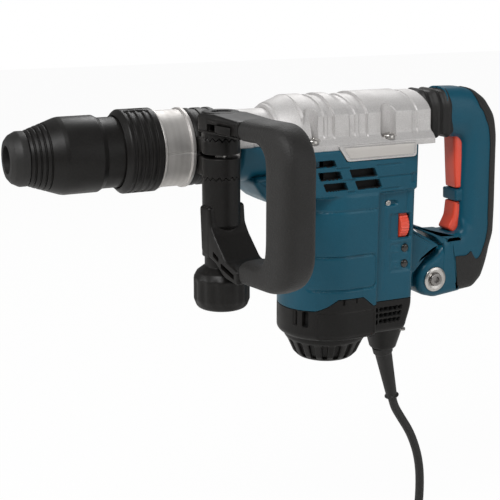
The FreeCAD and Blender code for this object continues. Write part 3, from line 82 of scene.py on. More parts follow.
def add(tree: bpy.types.NodeTree, kind: str, inputs: dict | None = None, **settings) -> bpy.types.Node:
    """Adds one node, with its settings, values and links.

    Args:
        tree: the material's node tree.
        kind: the node's type name without "ShaderNode".
        inputs: socket name or number to a value, or to the output socket that feeds it.
        settings: attributes of the node.
    Returns:
        The new node.
    """
    node = tree.nodes.new("ShaderNode" + kind)
    for key, value in settings.items():
        setattr(node, key, value)
    for key, value in (inputs or {}).items():
        if isinstance(value, bpy.types.NodeSocket):
            tree.links.new(value, node.inputs[key])
        else:
            node.inputs[key].default_value = value
    return node


class Mark(Enum):
    """How the surface was made, which decides its fine pattern."""
    MOULDED = "moulded"
    GRAINED = "grained"
    CAST = "cast"
    TURNED = "turned"
    PLAIN = "plain"


@dataclass(frozen=True)
class Finish:
    """One real material with the way its surface was made.

    Sizes are real millimetres: grain_mm is the width of one grain and grain_depth_mm its
    height. worn is the colour that shows where edges are rubbed and grime the colour that
    gathers in patches.
    """
    name: str
    colour: str
    worn: str
    grime: str
    mark: Mark = Mark.MOULDED
    roughness: float = 0.45
    metallic: float = 0.0
    ior: float = 1.5
    specular: float = 0.5
    coat: float = 0.0
    sheen: float = 0.0
    grain_mm: float = 0.9
    grain_depth_mm: float = 0.02
    patch_mm: float = 28.0
    patch: float = 0.25
    edge_mm: float = 0.7
    edge: float = 0.35

    def material(self) -> bpy.types.Material:
        """Builds the node tree once and returns the material."""
        known = bpy.data.materials.get(self.name)
        if known:
            return known
        made = bpy.data.materials.new(self.name)
        made.use_nodes = True
        tree = made.node_tree
        tree.nodes.clear()
        where = add(tree, "TexCoord").outputs["Object"]
        grain = self.grain(tree, where)
        patches = add(tree, "TexNoise", {"Vector": where, "Scale": 1 / (self.patch_mm * MM),
                                         "Detail": 5.0, "Roughness": 0.62}).outputs["Fac"]
        spread = add(tree, "MapRange", {"Value": patches, "From Min": 0.42, "From Max": 0.68,
                                        "To Min": 0.0, "To Max": self.patch}).outputs["Result"]
        colour = add(tree, "Mix", {"Factor": spread, 6: linear(self.colour), 7: linear(self.grime)},
                     data_type="RGBA").outputs[2]
        speck = add(tree, "MapRange", {"Value": grain, "From Min": 0.35, "From Max": 0.65, "To Min": 0.0,
                                       "To Max": 0.10 if self.mark is not Mark.CAST
                                       else 0.34}).outputs["Result"]
        colour = add(tree, "Mix", {"Factor": speck, 6: colour, 7: linear(self.worn)},
                     data_type="RGBA").outputs[2]
        rounded = add(tree, "Bevel", {"Radius": self.edge_mm * MM}, samples=4).outputs["Normal"]
        flat = add(tree, "NewGeometry").outputs["True Normal"]
        turn = add(tree, "VectorMath", {0: rounded, 1: flat}, operation="DOT_PRODUCT").outputs["Value"]
        rub = add(tree, "MapRange", {"Value": turn, "From Min": 0.97, "From Max": 0.80, "To Min": 0.0,
                                     "To Max": self.edge}).outputs["Result"]
        rub = add(tree, "Math", {0: rub, 1: patches}, operation="MULTIPLY").outputs[0]
        colour = add(tree, "Mix", {"Factor": rub, 6: colour, 7: linear(self.worn)},
                     data_type="RGBA").outputs[2]
        rough = add(tree, "MapRange", {"Value": patches, "From Min": 0.3, "From Max": 0.7,
                                       "To Min": max(self.roughness - 0.07, 0.05),
                                       "To Max": min(self.roughness + 0.10, 1.0)}).outputs["Result"]
        bump = add(tree, "Bump", {"Height": grain, "Normal": rounded, "Strength": 1.0,
                                  "Distance": self.grain_depth_mm * MM}).outputs["Normal"]
        shader = add(tree, "BsdfPrincipled", {"Base Color": colour, "Roughness": rough, "Normal": bump,
                                              "Metallic": self.metallic, "IOR": self.ior,
                                              "Specular IOR Level": self.specular,
                                              "Coat Weight": self.coat, "Sheen Weight": self.sheen})
        add(tree, "OutputMaterial", {"Surface": shader.outputs[0]})
        return made

    def grain(self, tree: bpy.types.NodeTree, where: bpy.types.NodeSocket) -> bpy.types.NodeSocket:
        """The fine pattern's height from 0 to 1: grains, cast pits, or turned rings about X."""
        scale = 1 / (self.grain_mm * MM)
        if self.mark is Mark.TURNED:
            return add(tree, "TexWave", {"Vector": where, "Scale": scale / 20, "Distortion": 0.6,
                                         "Detail": 3.0}, bands_direction="X").outputs["Fac"]
        if self.mark is Mark.GRAINED:
            cells = add(tree, "TexVoronoi", {"Vector": where, "Scale": scale}, feature="SMOOTH_F1")
            return cells.outputs["Distance"]
        detail = {Mark.CAST: 4.0, Mark.PLAIN: 1.0}.get(self.mark, 2.0)
        return add(tree, "TexNoise", {"Vector": where, "Scale": scale, "Detail": detail}).outputs["Fac"]


# Glass-filled nylon, moulded in a spark-eroded tool: deep petrol blue with a fine satin grain.
BLUE = Finish("moulded_nylon_blue", "#074c61", "#3b8095", "#053f52", roughness=0.36, specular=0.30,
              grain_mm=0.7, edge=0.5)
# Black glass-filled nylon: satin, slightly warm, edges rub to grey.
BLACK = Finish("moulded_nylon_black", "#100f0e", "#454240", "#0e0d0c", roughness=0.42, specular=0.26,
               grain_mm=0.8, edge=0.5)
# Soft thermoplastic rubber with a pebbled grain, drawn a little coarser than the real 0.5 mm.
RUBBER = Finish("grained_rubber", "#1b1a19", "#343230", "#242321", Mark.GRAINED, roughness=0.58, specular=0.4,
                sheen=0.05, grain_mm=1.0, grain_depth_mm=0.30, edge=0.3)
# Plain moulded rubber of dust cap and bellows: dull black.
SOFT = Finish("moulded_rubber_black", "#131211", "#3b3836", "#1c1b19", roughness=0.55, grain_mm=0.9)
# Rubber cord jacket: dull black, extruded smooth.
JACKET = Finish("extruded_rubber_jacket", "#1c1b1a", "#3b3937", "#282625", roughness=0.55, grain_mm=0.6,
                grain_depth_mm=0.012, edge=0.2)
# Red moulded ABS of the trigger, the lever and the thumbwheel: slightly glossy.
RED = Finish("moulded_abs_red", "#ea4a30", "#f58a70", "#d43a26", roughness=0.33, ior=1.53, coat=0.15,
             grain_mm=0.8, grain_depth_mm=0.008, edge=0.4)
# Pressure-cast aluminium, grit blasted: pale grey, fine sparkle of pits.
CAST = Finish("blasted_cast_aluminium", "#d2d0cf", "#9b9896", "#bab7b5", Mark.CAST, roughness=0.55,
              metallic=0.45, grain_mm=0.8, grain_depth_mm=0.05, patch=0.35, edge=0.5)
# Turned aluminium: bright, with fine rings from the tool.
TURNED = Finish("turned_aluminium", "#c9c6c3", "#e9e7e5", "#a9a5a2", Mark.TURNED, roughness=0.50,
                metallic=0.9, grain_mm=0.8, grain_depth_mm=0.012, edge=0.6)
# Ground and oiled steel of the striking parts and gears.
STEEL = Finish("ground_steel", "#8d8a88", "#c4c1be", "#6f6b68", Mark.CAST, roughness=0.34, metallic=1.0,
               grain_mm=0.6, grain_depth_mm=0.008, patch=0.4)
# Zinc-plated screw steel: bright and smooth.
BRIGHT = Finish("zinc_plated_steel", "#c6c3bf", "#efeeec", "#9f9b97", Mark.PLAIN, roughness=0.26,
                metallic=1.0, grain_mm=0.7, grain_depth_mm=0.006)
SPRING = Finish("drawn_spring_steel", "#77736f", "#b5b1ad", "#5a5653", Mark.PLAIN, roughness=0.35,
                metallic=1.0, grain_depth_mm=0.006)
COPPER = Finish("enamelled_copper_wire", "#b06a3c", "#e0a070", "#8a4a26", Mark.TURNED, roughness=0.35,
                metallic=0.9, grain_mm=1.2, grain_depth_mm=0.08)
BRASS = Finish("drawn_brass", "#c3a15a", "#e6cf97", "#96783a", Mark.PLAIN, roughness=0.30, metallic=1.0,
               grain_depth_mm=0.006)
CARBON = Finish("pressed_carbon", "#2a2a2b", "#55575a", "#1f1f20", Mark.CAST, roughness=0.6)
# Printed foil label without any print: satin grey.
LABEL = Finish("satin_foil_label", "#c9c5c1", "#dcd9d6", "#b5b0ab", Mark.PLAIN, roughness=0.42, metallic=0.35,
               grain_depth_mm=0.01)
# Smoked clear plastic of the indicators: nearly black, glossy.
LENS = Finish("smoked_acrylic", "#15130f", "#3a3733", "#1d1a17", Mark.PLAIN, roughness=0.10, ior=1.49,
              coat=0.6, grain_depth_mm=0.002)
# Painted shade: near-black put on the faces deep inside the louvres, the vents and the wheel's well, where
# the shade falls.
PAINTED_SHADE = Finish("louvre_shadow_nylon", "#0c0c0c", "#1c1c1c", "#101010", roughness=0.8, edge=0.0)

SLOT_FINISH = {"blue_shell": BLUE, "black_plastic": BLACK, "grip_rubber": RUBBER, "cord_jacket": JACKET,
               "red_plastic": RED, "cast_aluminium": CAST, "machined_aluminium": TURNED, "steel": STEEL,
               "bright_steel": BRIGHT, "spring_steel": SPRING, "copper": COPPER, "brass": BRASS,
               "carbon": CARBON, "label": LABEL, "lens": LENS}


# ------------------------------------------------------------------- shapes

def ease(value: np.ndarray, low: float, high: float) -> np.ndarray:
    """Smooth step: 0 below low, 1 above high and 3t^2 - 2t^3 between."""
    t = np.clip((np.asarray(value, float) - low) / (high - low), 0, 1)
    return t * t * (3 - 2 * t)


def slab(value: np.ndarray, low: float, high: float, soft: float = 0.5) -> np.ndarray:
    """1 between low and high, falling to 0 over soft outside each end."""
    return ease(value, low - soft, low) * (1 - ease(value, high, high + soft))


def patch(u: np.ndarray, v: np.ndarray, box: Sequence[float], corner: float, soft: float = 0.6) -> np.ndarray:
    """1 inside a rectangle (u0, v0, u1, v1) with round corners, by its signed distance, 0 outside."""
    u0, v0, u1, v1 = box
    du = np.abs(u - (u0 + u1) / 2) - (u1 - u0) / 2 + corner
    dv = np.abs(v - (v0 + v1) / 2) - (v1 - v0) / 2 + corner
    away = np.hypot(np.maximum(du, 0), np.maximum(dv, 0)) + np.minimum(np.maximum(du, dv), 0) - corner
    return 1 - ease(away, -soft, 0)


def rounded(corners: Sequence[Sequence[float]], closed: bool = True, step: float = 14.0) -> np.ndarray:
    """A line through corners (u, v) or (u, v, radius), each cut by an arc tangent to both runs.

    Args:
        corners: the line's corners, with a radius where one is rounded.
        closed: whether the last corner joins the first.
        step: the arc's largest turn in degrees between points.
    Returns:
        The line's points, one row each.
    """
    points = [np.array(c[:2], float) for c in corners]
    line: list[np.ndarray] = []
    for k, corner in enumerate(corners):
        here, radius = points[k], corner[2] if len(corner) > 2 else 0.0
        if radius <= 0 or (not closed and k in (0, len(corners) - 1)):
            line.append(here[None])
            continue
        into, out = here - points[k - 1], points[(k + 1) % len(points)] - here
        long_in, long_out = np.linalg.norm(into), np.linalg.norm(out)
        into, out = into / long_in, out / long_out
        turn = math.acos(float(np.clip(into @ out, -1, 1)))
        if turn < 0.02:
            line.append(here[None])
            continue
        cut = min(radius * math.tan(turn / 2), 0.49 * long_in, 0.49 * long_out)
        radius = cut / math.tan(turn / 2)
        side = np.sign(into[0] * out[1] - into[1] * out[0])
        centre = here - into * cut + radius * side * np.array((-into[1], into[0]))
        start = here - into * cut - centre
        angles = np.linspace(0, turn * side, max(3, int(math.degrees(turn) / step) + 2))[:, None]
        line.append(centre + start * np.cos(angles) + np.array((-start[1], start[0])) * np.sin(angles))
    return np.vstack(line)


def spaced(line: np.ndarray, count: int, closed: bool = True) -> np.ndarray:
    """The same line with count points at even distances along it."""
    if closed:
        line = np.vstack((line, line[:1]))
    along = np.concatenate(((0,), np.cumsum(np.linalg.norm(np.diff(line, axis=0), axis=1))))
    at = np.linspace(0, along[-1], count, endpoint=not closed)
    return np.stack([np.interp(at, along, line[:, k]) for k in range(line.shape[1])], 1)


def outward(line: np.ndarray) -> np.ndarray:
    """Unit normals of a closed line in its plane, away from its inside."""
    ahead = np.roll(line, -1, 0) - np.roll(line, 1, 0)
    ahead /= np.maximum(np.linalg.norm(ahead, axis=1, keepdims=True), 1e-9)
    area = np.sum(line[:, 0] * np.roll(line[:, 1], -1) - np.roll(line[:, 0], -1) * line[:, 1])
    return np.stack((ahead[:, 1], -ahead[:, 0]), 1) * np.sign(area)


@dataclass
class Skin:
    """Points and faces gathered for one piece, in tool millimetres."""
    points: list[np.ndarray] = field(default_factory=list)
    faces: list[list[int]] = field(default_factory=list)
    finishes: list[int] = field(default_factory=list)
    count: int = 0

    def grid(self, grid: np.ndarray, wrap_u: bool = False, wrap_v: bool = False, caps: bool = True,
             finish: int | np.ndarray = 0) -> "Skin":
        """Quads between the neighbours of a grid P(u, v), with a face over each open end in u.

        Args:
            grid: points by u, v and coordinate.
            wrap_u: joins the last row to the first.
            wrap_v: joins the last column to the first.
            caps: closes the first and last rows with one face each.
            finish: which finish the faces take, one number or one for each quad.
        Returns:
            The skin itself.
        """
        rows, columns = grid.shape[:2]
        index = np.arange(rows * columns).reshape(rows, columns) + self.count
        right, up = np.roll(index, -1, 0), np.roll(index, -1, 1)
        both = np.roll(right, -1, 1)
        quads = np.stack((index, right, both, up), -1)
        quads = quads[:rows if wrap_u else rows - 1, :columns if wrap_v else columns - 1].reshape(-1, 4)
        self.faces += quads.tolist()
        self.finishes += np.broadcast_to(np.asarray(finish).reshape(-1), (len(quads),)).tolist()
        if caps and not wrap_u:
            self.faces += [index[0].tolist(), index[-1][::-1].tolist()]
            self.finishes += [0, 0]
        self.points.append(grid.reshape(-1, 3))
        self.count += rows * columns
        return self

    def lathe(self, profile: np.ndarray, axis: str = "X", centre: Sequence[float] = (0, 0, 0),
              count: int = 96, change: Callable | None = None) -> "Skin":
        """Turns a profile (along, radius) about an axis: P = centre + along + radius (cos a, sin a).

        Args:
            profile: points along the axis and out from it; a closed line makes a ring.
            axis: X, Y or Z.
            centre: a point on the axis where along is 0.
            count: steps round the axis.
            change: takes along, radius and angle arrays and returns the new radius.
        Returns:
            The skin itself.
        """
        angle = np.linspace(0, 2 * math.pi, count, endpoint=False)[None]
        along, radius = profile[:, :1] + 0 * angle, profile[:, 1:] + 0 * angle
        if change:
            radius = change(along, radius, angle + 0 * along)
        side, up = radius * np.cos(angle), radius * np.sin(angle)
        order = {"X": (along, side, up), "Y": (side, along, up), "Z": (side, up, along)}[axis]
        return self.grid(np.stack(order, -1) + np.asarray(centre, float), wrap_u=profile[0, 1] > 0.01,
                         wrap_v=True, caps=False)

    def arch(self, profile: np.ndarray, start: float, end: float, count: int) -> "Skin":
        """Turns a closed profile (along, radius) about the barrel from start to end, both ends closed."""
        angle = np.linspace(start, end, count)[:, None]
        radius = profile[:, 1] + 0 * angle
        return self.grid(np.stack((profile[:, 0] + 0 * angle, radius * np.cos(angle), radius * np.sin(angle)),
                                  -1), wrap_v=True)

    def prism(self, outline: np.ndarray, low: float, high: float, fillet: float = 1.0, plane: str = "XZ",
              bulge: float = 0.0, far_fillet: float | None = None) -> "Skin":
        """Carries an outline across its plane and rounds both rims with a quarter circle.

        At each level the outline moves in along its normals by fillet (1 - sin a) while the
        level moves by fillet (1 - cos a), so that the rim is a quarter circle.

        Args:
            outline: closed line in the plane.
            low: where the prism starts on the third axis.
            high: where it ends.
            fillet: the rim's radius.
            plane: XZ, XY or YZ.
            bulge: how far the middle of the side stands out.
            far_fillet: the rim's radius at high, where it isn't fillet.
        Returns:
            The skin itself.
        """
        turn, far = np.linspace(0, math.pi / 2, 6), fillet if far_fillet is None else far_fillet
        inset = np.concatenate((fillet * (1 - np.sin(turn)), -bulge * np.array((0.75, 1.0, 0.75)),
                                far * (1 - np.sin(turn[::-1]))))
        spots = np.linspace(low + fillet, high - far, 5)[1:-1]
        level = np.concatenate((low + fillet * (1 - np.cos(turn)), spots,
                                high - far * (1 - np.cos(turn[::-1]))))
        flat = outline[None] - outward(outline)[None] * inset[:, None, None]
        third = np.broadcast_to(level[:, None], flat.shape[:2])
        u, v = flat[..., 0], flat[..., 1]
        order = {"XZ": (u, third, v), "XY": (u, v, third), "YZ": (third, u, v)}[plane]
        return self.grid(np.stack(order, -1), wrap_v=True)

    def toothed(self, centre: Sequence[float], level: float, teeth: int = 18, height: float = 3.0,
                ahead: float = 0.0) -> "Skin":
        """Lifts the last grid's points near a level by a zigzag in the angle about a vertical line.

        Args:
            centre: the line's x and y.
            level: the joint's height.
            teeth: how many teeth go round.
            height: how far the zigzag rises and falls in all.
            ahead: degrees the piece is turned by afterwards, so that both sides of the joint mesh.
        Returns:
            The skin itself.
        """
        points = self.points[-1] = self.points[-1].copy()
        turn = np.arctan2(points[:, 1] - centre[1], points[:, 0] - centre[0]) + math.radians(ahead)
        turn = turn / (2 * math.pi) * teeth
        zigzag = np.abs((turn % 1.0) - 0.5) * 2 - 0.5
        points[:, 2] += height * zigzag * (1 - ease(np.abs(points[:, 2] - level), 2.2, 5.0))
        return self

    def turned(self, centre: Sequence[float], degrees: float) -> "Skin":
        """Turns all the points so far about a vertical line through centre."""
        a, mid = math.radians(degrees), np.array((centre[0], centre[1], 0.0))
        spin = np.array(((math.cos(a), math.sin(a), 0), (-math.sin(a), math.cos(a), 0), (0, 0, 1)))
        self.points = [(p - mid) @ spin + mid for p in self.points]
        return self

    def piece(self, name: str, body: str, *finishes: Finish, stands_for: Sequence[str] = (),
              sharp: float = 38.0) -> bpy.types.Object:
        """Makes the Blender object, with outward faces, its finishes and its body.

        Args:
            name: the object's name.
            body: the CAD body that it moves with.
            finishes: materials in the order of the finish numbers.
            stands_for: CAD nodes that it replaces.
            sharp: edges that turn by more degrees than this stay crisp.
        Returns:
            The new object.
        """
        mesh = bpy.data.meshes.new(name)
        mesh.from_pydata(place(np.vstack(self.points)).tolist(), [], self.faces)
        mesh.polygons.foreach_set("material_index", np.asarray(self.finishes, dtype=np.int32))
        work = bmesh.new()
        work.from_mesh(mesh)
        bmesh.ops.remove_doubles(work, verts=work.verts, dist=2e-6)
        bmesh.ops.recalc_face_normals(work, faces=work.faces)
        work.to_mesh(mesh)
        work.free()
        mesh.shade_smooth()
        mesh.set_sharp_from_angle(angle=math.radians(sharp))
        for finish in finishes:
            mesh.materials.append(finish.material())
        made = bpy.data.objects.new(name, mesh)
        bpy.context.collection.objects.link(made)
        if body:
            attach(made, body)
        if stands_for:
            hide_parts(*stands_for)
        LOG.info("%s: %d faces on %s", name, len(mesh.polygons), body)
        return made


def star_socket(low: float, high: float, height: float) -> Callable:
    """A change for lathe: six lobes of a height in the walls that stand between two radii."""
    def star(along: np.ndarray, radius: np.ndarray, angle: np.ndarray) -> np.ndarray:
        """Moves those walls in and out with the angle."""
        return np.where((radius > low) & (radius < high), radius + height * np.cos(6 * angle), radius)

    return star


def loop_tube(inner: np.ndarray, outer: np.ndarray, half: np.ndarray, power: float | np.ndarray,
              t: np.ndarray, proud: float = 0.0) -> np.ndarray:
    """A handle bar between an inner and an outer line in the XZ plane.

    P(u, t) = middle + reach * c(t) towards the outer line, and y = half * s(t), where
    c and s are cos and sin to the power 2 / power with their signs, a superellipse.

    Args:
        inner: inner line's points.
        outer: outer line's points, as many.
        half: half width across at each point.
        power: 2 is an ellipse and larger is squarer; one number or one a row.
        t: the section's angles, the same or their own for each row; 0 is the outer line.
        proud: how far the surface stands off.
    Returns:
        The grid of points.
    """
    c = np.sign(np.cos(t)) * np.abs(np.cos(t)) ** (2 / power)
    s = np.sign(np.sin(t)) * np.abs(np.sin(t)) ** (2 / power)
    reach = (outer - inner) / 2
    size = np.linalg.norm(reach, axis=1, keepdims=True)
    flat = ((inner + outer) / 2)[:, None] + (reach / size)[:, None] * ((size + proud) * c)[..., None]
    return np.stack((flat[..., 0], (half[:, None] + proud) * s, flat[..., 1]), -1)


# ---------------------------------------------------------------- camera, light

@dataclass
class Studio:
    """Camera, soft lamps and a pale floor under the cord's coil."""
    eye: tuple[float, float, float] = (-0.6613, -0.8569, 0.1927)
    aim: tuple[float, float, float] = (-0.23587, 0.0, -0.04485)
    lens_mm: float = 81.32
    sensor_mm: float = 36.0
    # Area lamps as (name, place in metres, watts, size in metres).
    lamps: tuple = (("key", (-1.3, -1.0, 1.6), 30.0, 0.7), ("fill", (0.9, -1.6, 0.5), 7.0, 1.2),
                    ("back", (0.6, 1.4, 1.5), 16.0, 0.9), ("left", (-1.9, 0.5, 0.5), 8.0, 0.8))
    sky_strength: float = 0.22
    floor_mm: float = -448.3
    floor_reach_mm: float = 6000.0
    floor_glow: float = 0.96

    def build(self) -> None:
        """Sets up the camera, three area lamps, the world and the floor."""
        camera = bpy.data.objects.new("camera", bpy.data.cameras.new("camera"))
        camera.data.lens, camera.data.sensor_width = self.lens_mm, self.sensor_mm
        camera.location = self.eye
        camera.rotation_mode = "QUATERNION"
        camera.rotation_quaternion = (Vector(self.aim) - Vector(self.eye)).to_track_quat("-Z", "Y")
        bpy.context.collection.objects.link(camera)
        bpy.context.scene.camera = camera
        bpy.context.scene.view_settings.view_transform = "Standard"
        for name, spot, power, size in self.lamps:
            lamp = bpy.data.lights.new(name, "AREA")
            lamp.energy, lamp.size = power, size
            light = bpy.data.objects.new(name, lamp)
            light.location = spot
            light.rotation_mode = "QUATERNION"
            light.rotation_quaternion = (Vector(self.aim) - Vector(spot)).to_track_quat("-Z", "Y")
            bpy.context.collection.objects.link(light)
        self.sky()
        self.ground()

    def sky(self) -> None:
        """A soft grey world that the camera and reflections see as white."""
        world = bpy.data.worlds.new("studio")
        world.use_nodes = True
        tree = world.node_tree
        tree.nodes.clear()
        path = add(tree, "LightPath")
        white = add(tree, "Math", {0: path.outputs["Is Camera Ray"], 1: path.outputs["Is Transmission Ray"]},
                    operation="MAXIMUM").outputs[0]
        power = add(tree, "MapRange", {"Value": white, "To Min": self.sky_strength,
                                       "To Max": 1.0}).outputs["Result"]
        back = add(tree, "Background", {"Color": (1, 1, 1, 1), "Strength": power})
        add(tree, "OutputWorld", {"Surface": back.outputs[0]})
        bpy.context.scene.world = world

    def ground(self) -> None:
        """A white floor, wide enough for every view, that keeps the shadow."""
        ends = (-self.floor_reach_mm, self.floor_reach_mm)
        corners = np.array([(x, y, self.floor_mm) for x in ends for y in ends])
        mesh = bpy.data.meshes.new("floor")
        mesh.from_pydata(place(corners).tolist(), [], [(0, 2, 3, 1)])
        made = bpy.data.materials.new("matt_white_paint")
        made.use_nodes = True
        tree = made.node_tree
        tree.nodes.clear()
        where = add(tree, "TexCoord").outputs["Object"]
        tooth = add(tree, "TexNoise", {"Vector": where, "Scale": 600.0}).outputs["Fac"]
        bump = add(tree, "Bump", {"Height": tooth, "Distance": 0.0001}).outputs["Normal"]
        paint = add(tree, "BsdfPrincipled", {"Base Color": linear("#f4f3f1"), "Roughness": 0.9,
                                             "Normal": bump})
        glow = add(tree, "Emission", {"Color": (1, 1, 1, 1), "Strength": 1.0})
        seen = add(tree, "LightPath").outputs["Is Camera Ray"]
        part = add(tree, "Math", {0: seen, 1: self.floor_glow}, operation="MULTIPLY").outputs[0]
        blend = add(tree, "MixShader", {0: part, 1: paint.outputs[0], 2: glow.outputs[0]})
        add(tree, "OutputMaterial", {"Surface": blend.outputs[0]})
        mesh.materials.append(made)
        floor = bpy.data.objects.new("floor", mesh)
        bpy.context.collection.objects.link(floor)


# ----------------------------------------------------------------------- cord

@dataclass
class MainsCord:
    """A 2.4 m rubber cord: it hangs from its sleeve and lies coiled on the floor."""
    radius: float = 4.25
    length_m: float = 2.4
    floor: float = -448.0
    coil_centre: tuple[float, float] = (277.0, -120.0)
    coil_outer: float = 62.0
    turns: float = 6.5
    turn_points: int = 14
    drop: tuple = ((363, 0, -257), (365.4, 0, -266.8), (373, 0, -279), (387, -1, -301), (395.5, -4, -330),
                   (394, -9, -362), (385, -17, -392), (368, -27, -417), (343, -39, -435), (311, -51, -443.75))
    tail: tuple = ((313, -189, -443), (347, -184, -436))

    def coil(self) -> np.ndarray:
        """Control points of the coil: a flat spiral in, a second one out on top, half a turn down.

        With s in turns, the radius falls by one diameter a turn for three turns, grows
        again for three, and the last half turn steps off the coil down to the floor.
        """
        s = np.arange(0, self.turns + 1e-6, 1 / self.turn_points)
        step = 2 * self.radius
        radius = np.where(s < 3, self.coil_outer - step * s, self.coil_outer - step * (6 - s))
        radius = np.where(s > 6, self.coil_outer + np.interp(s, (6, 6.12, 6.25, 6.5), (0, 4.6, 6.6, 4.0)),
                          radius)
        low = self.floor + self.radius
        height = low + step * ease(s, 2.72, 3.05)
        height = height - step * ease(s, 6.04, 6.34)
        angle = math.pi / 2 + 2 * math.pi * s
        shrink = math.cos(math.pi / self.turn_points)
        return np.stack((self.coil_centre[0] + radius / shrink * np.cos(angle),
                         self.coil_centre[1] + radius / shrink * np.sin(angle), height), 1)

    def build(self) -> None:
        """Makes the cord's spline, its sleeve and the plug."""
        points = place(np.vstack((np.array(self.drop, float), self.coil(), np.array(self.tail, float))))
        curve = bpy.data.curves.new("mains_cord", "CURVE")
        curve.dimensions = "3D"
        curve.bevel_depth = self.radius * MM
        curve.bevel_resolution = 5
        curve.resolution_u = 5
        curve.use_fill_caps = True
        spline = curve.splines.new("NURBS")
        spline.points.add(len(points) - 1)
        spline.points.foreach_set("co", np.column_stack((points, np.ones(len(points)))).ravel())
        spline.order_u = 3
        spline.use_endpoint_u = True
        curve.materials.append(JACKET.material())
        cord = bpy.data.objects.new("mains_cord", curve)
        bpy.context.collection.objects.link(cord)
        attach(cord, "housing")
        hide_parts("power_cord", "cord_coil")
        plug = self.plug()
        self.sleeve()

    def plug(self) -> bpy.types.Object:
        """A rubber plug with a flat grip: rounded block, ribbed neck."""
        x, y, z = self.tail[-1]
        skin = Skin()
        plan = rounded([(x + 2, y - 7, 3), (x + 24, y - 11, 6), (x + 30, y - 15.2, 5), (x + 52, y - 15.2, 2),
                        (x + 52, y + 15.2, 2), (x + 30, y + 15.2, 5), (x + 24, y + 11, 6), (x + 2, y + 7, 3)])
        skin.prism(spaced(plan, 90), z - 12.0, z + 15.6, 5.0, "XY")
        neck = [(-1, 0)] + [(k, 6.6 + 0.14 * k + (0.7 if k % 6 < 3 else 0)) for k in range(27)] + [(27, 0)]
        skin.lathe(np.array(neck, float), "X", (x, y, z), 40)
        return skin.piece("plug_cover", "housing", JACKET, stands_for=("plug_body",))

    def sleeve(self) -> None:
        """Bend relief: a smooth rubber cone about the cord's first run, with a collar and an end bead."""
        start, ahead = np.array(self.drop[0], float), np.array(self.drop[1], float)
        way = (ahead - start) / np.linalg.norm(ahead - start)
        s = np.linspace(0, 1, 90)
        radius = 9.8 - 3.4 * s - 1.2 * slab(s, 0.14, 0.95, 0.03) + 0.5 * slab(s, 0.96, 0.99, 0.01)
        angle = np.linspace(0, 2 * math.pi, 40, endpoint=False)
        side = np.cross(way, (0, 1, 0))
        centre = start + way * (55 * (s - 1))[:, None]
        grid = centre[:, None] + radius[:, None, None] * (
            np.cos(angle)[None, :, None] * side + np.sin(angle)[None, :, None] * np.array((0.0, 1, 0)))
        Skin().grid(grid, wrap_v=True).piece("cord_relief", "housing", SOFT, stands_for=("cord_sleeve",))


# ----------------------------------------------------------------- tool holder

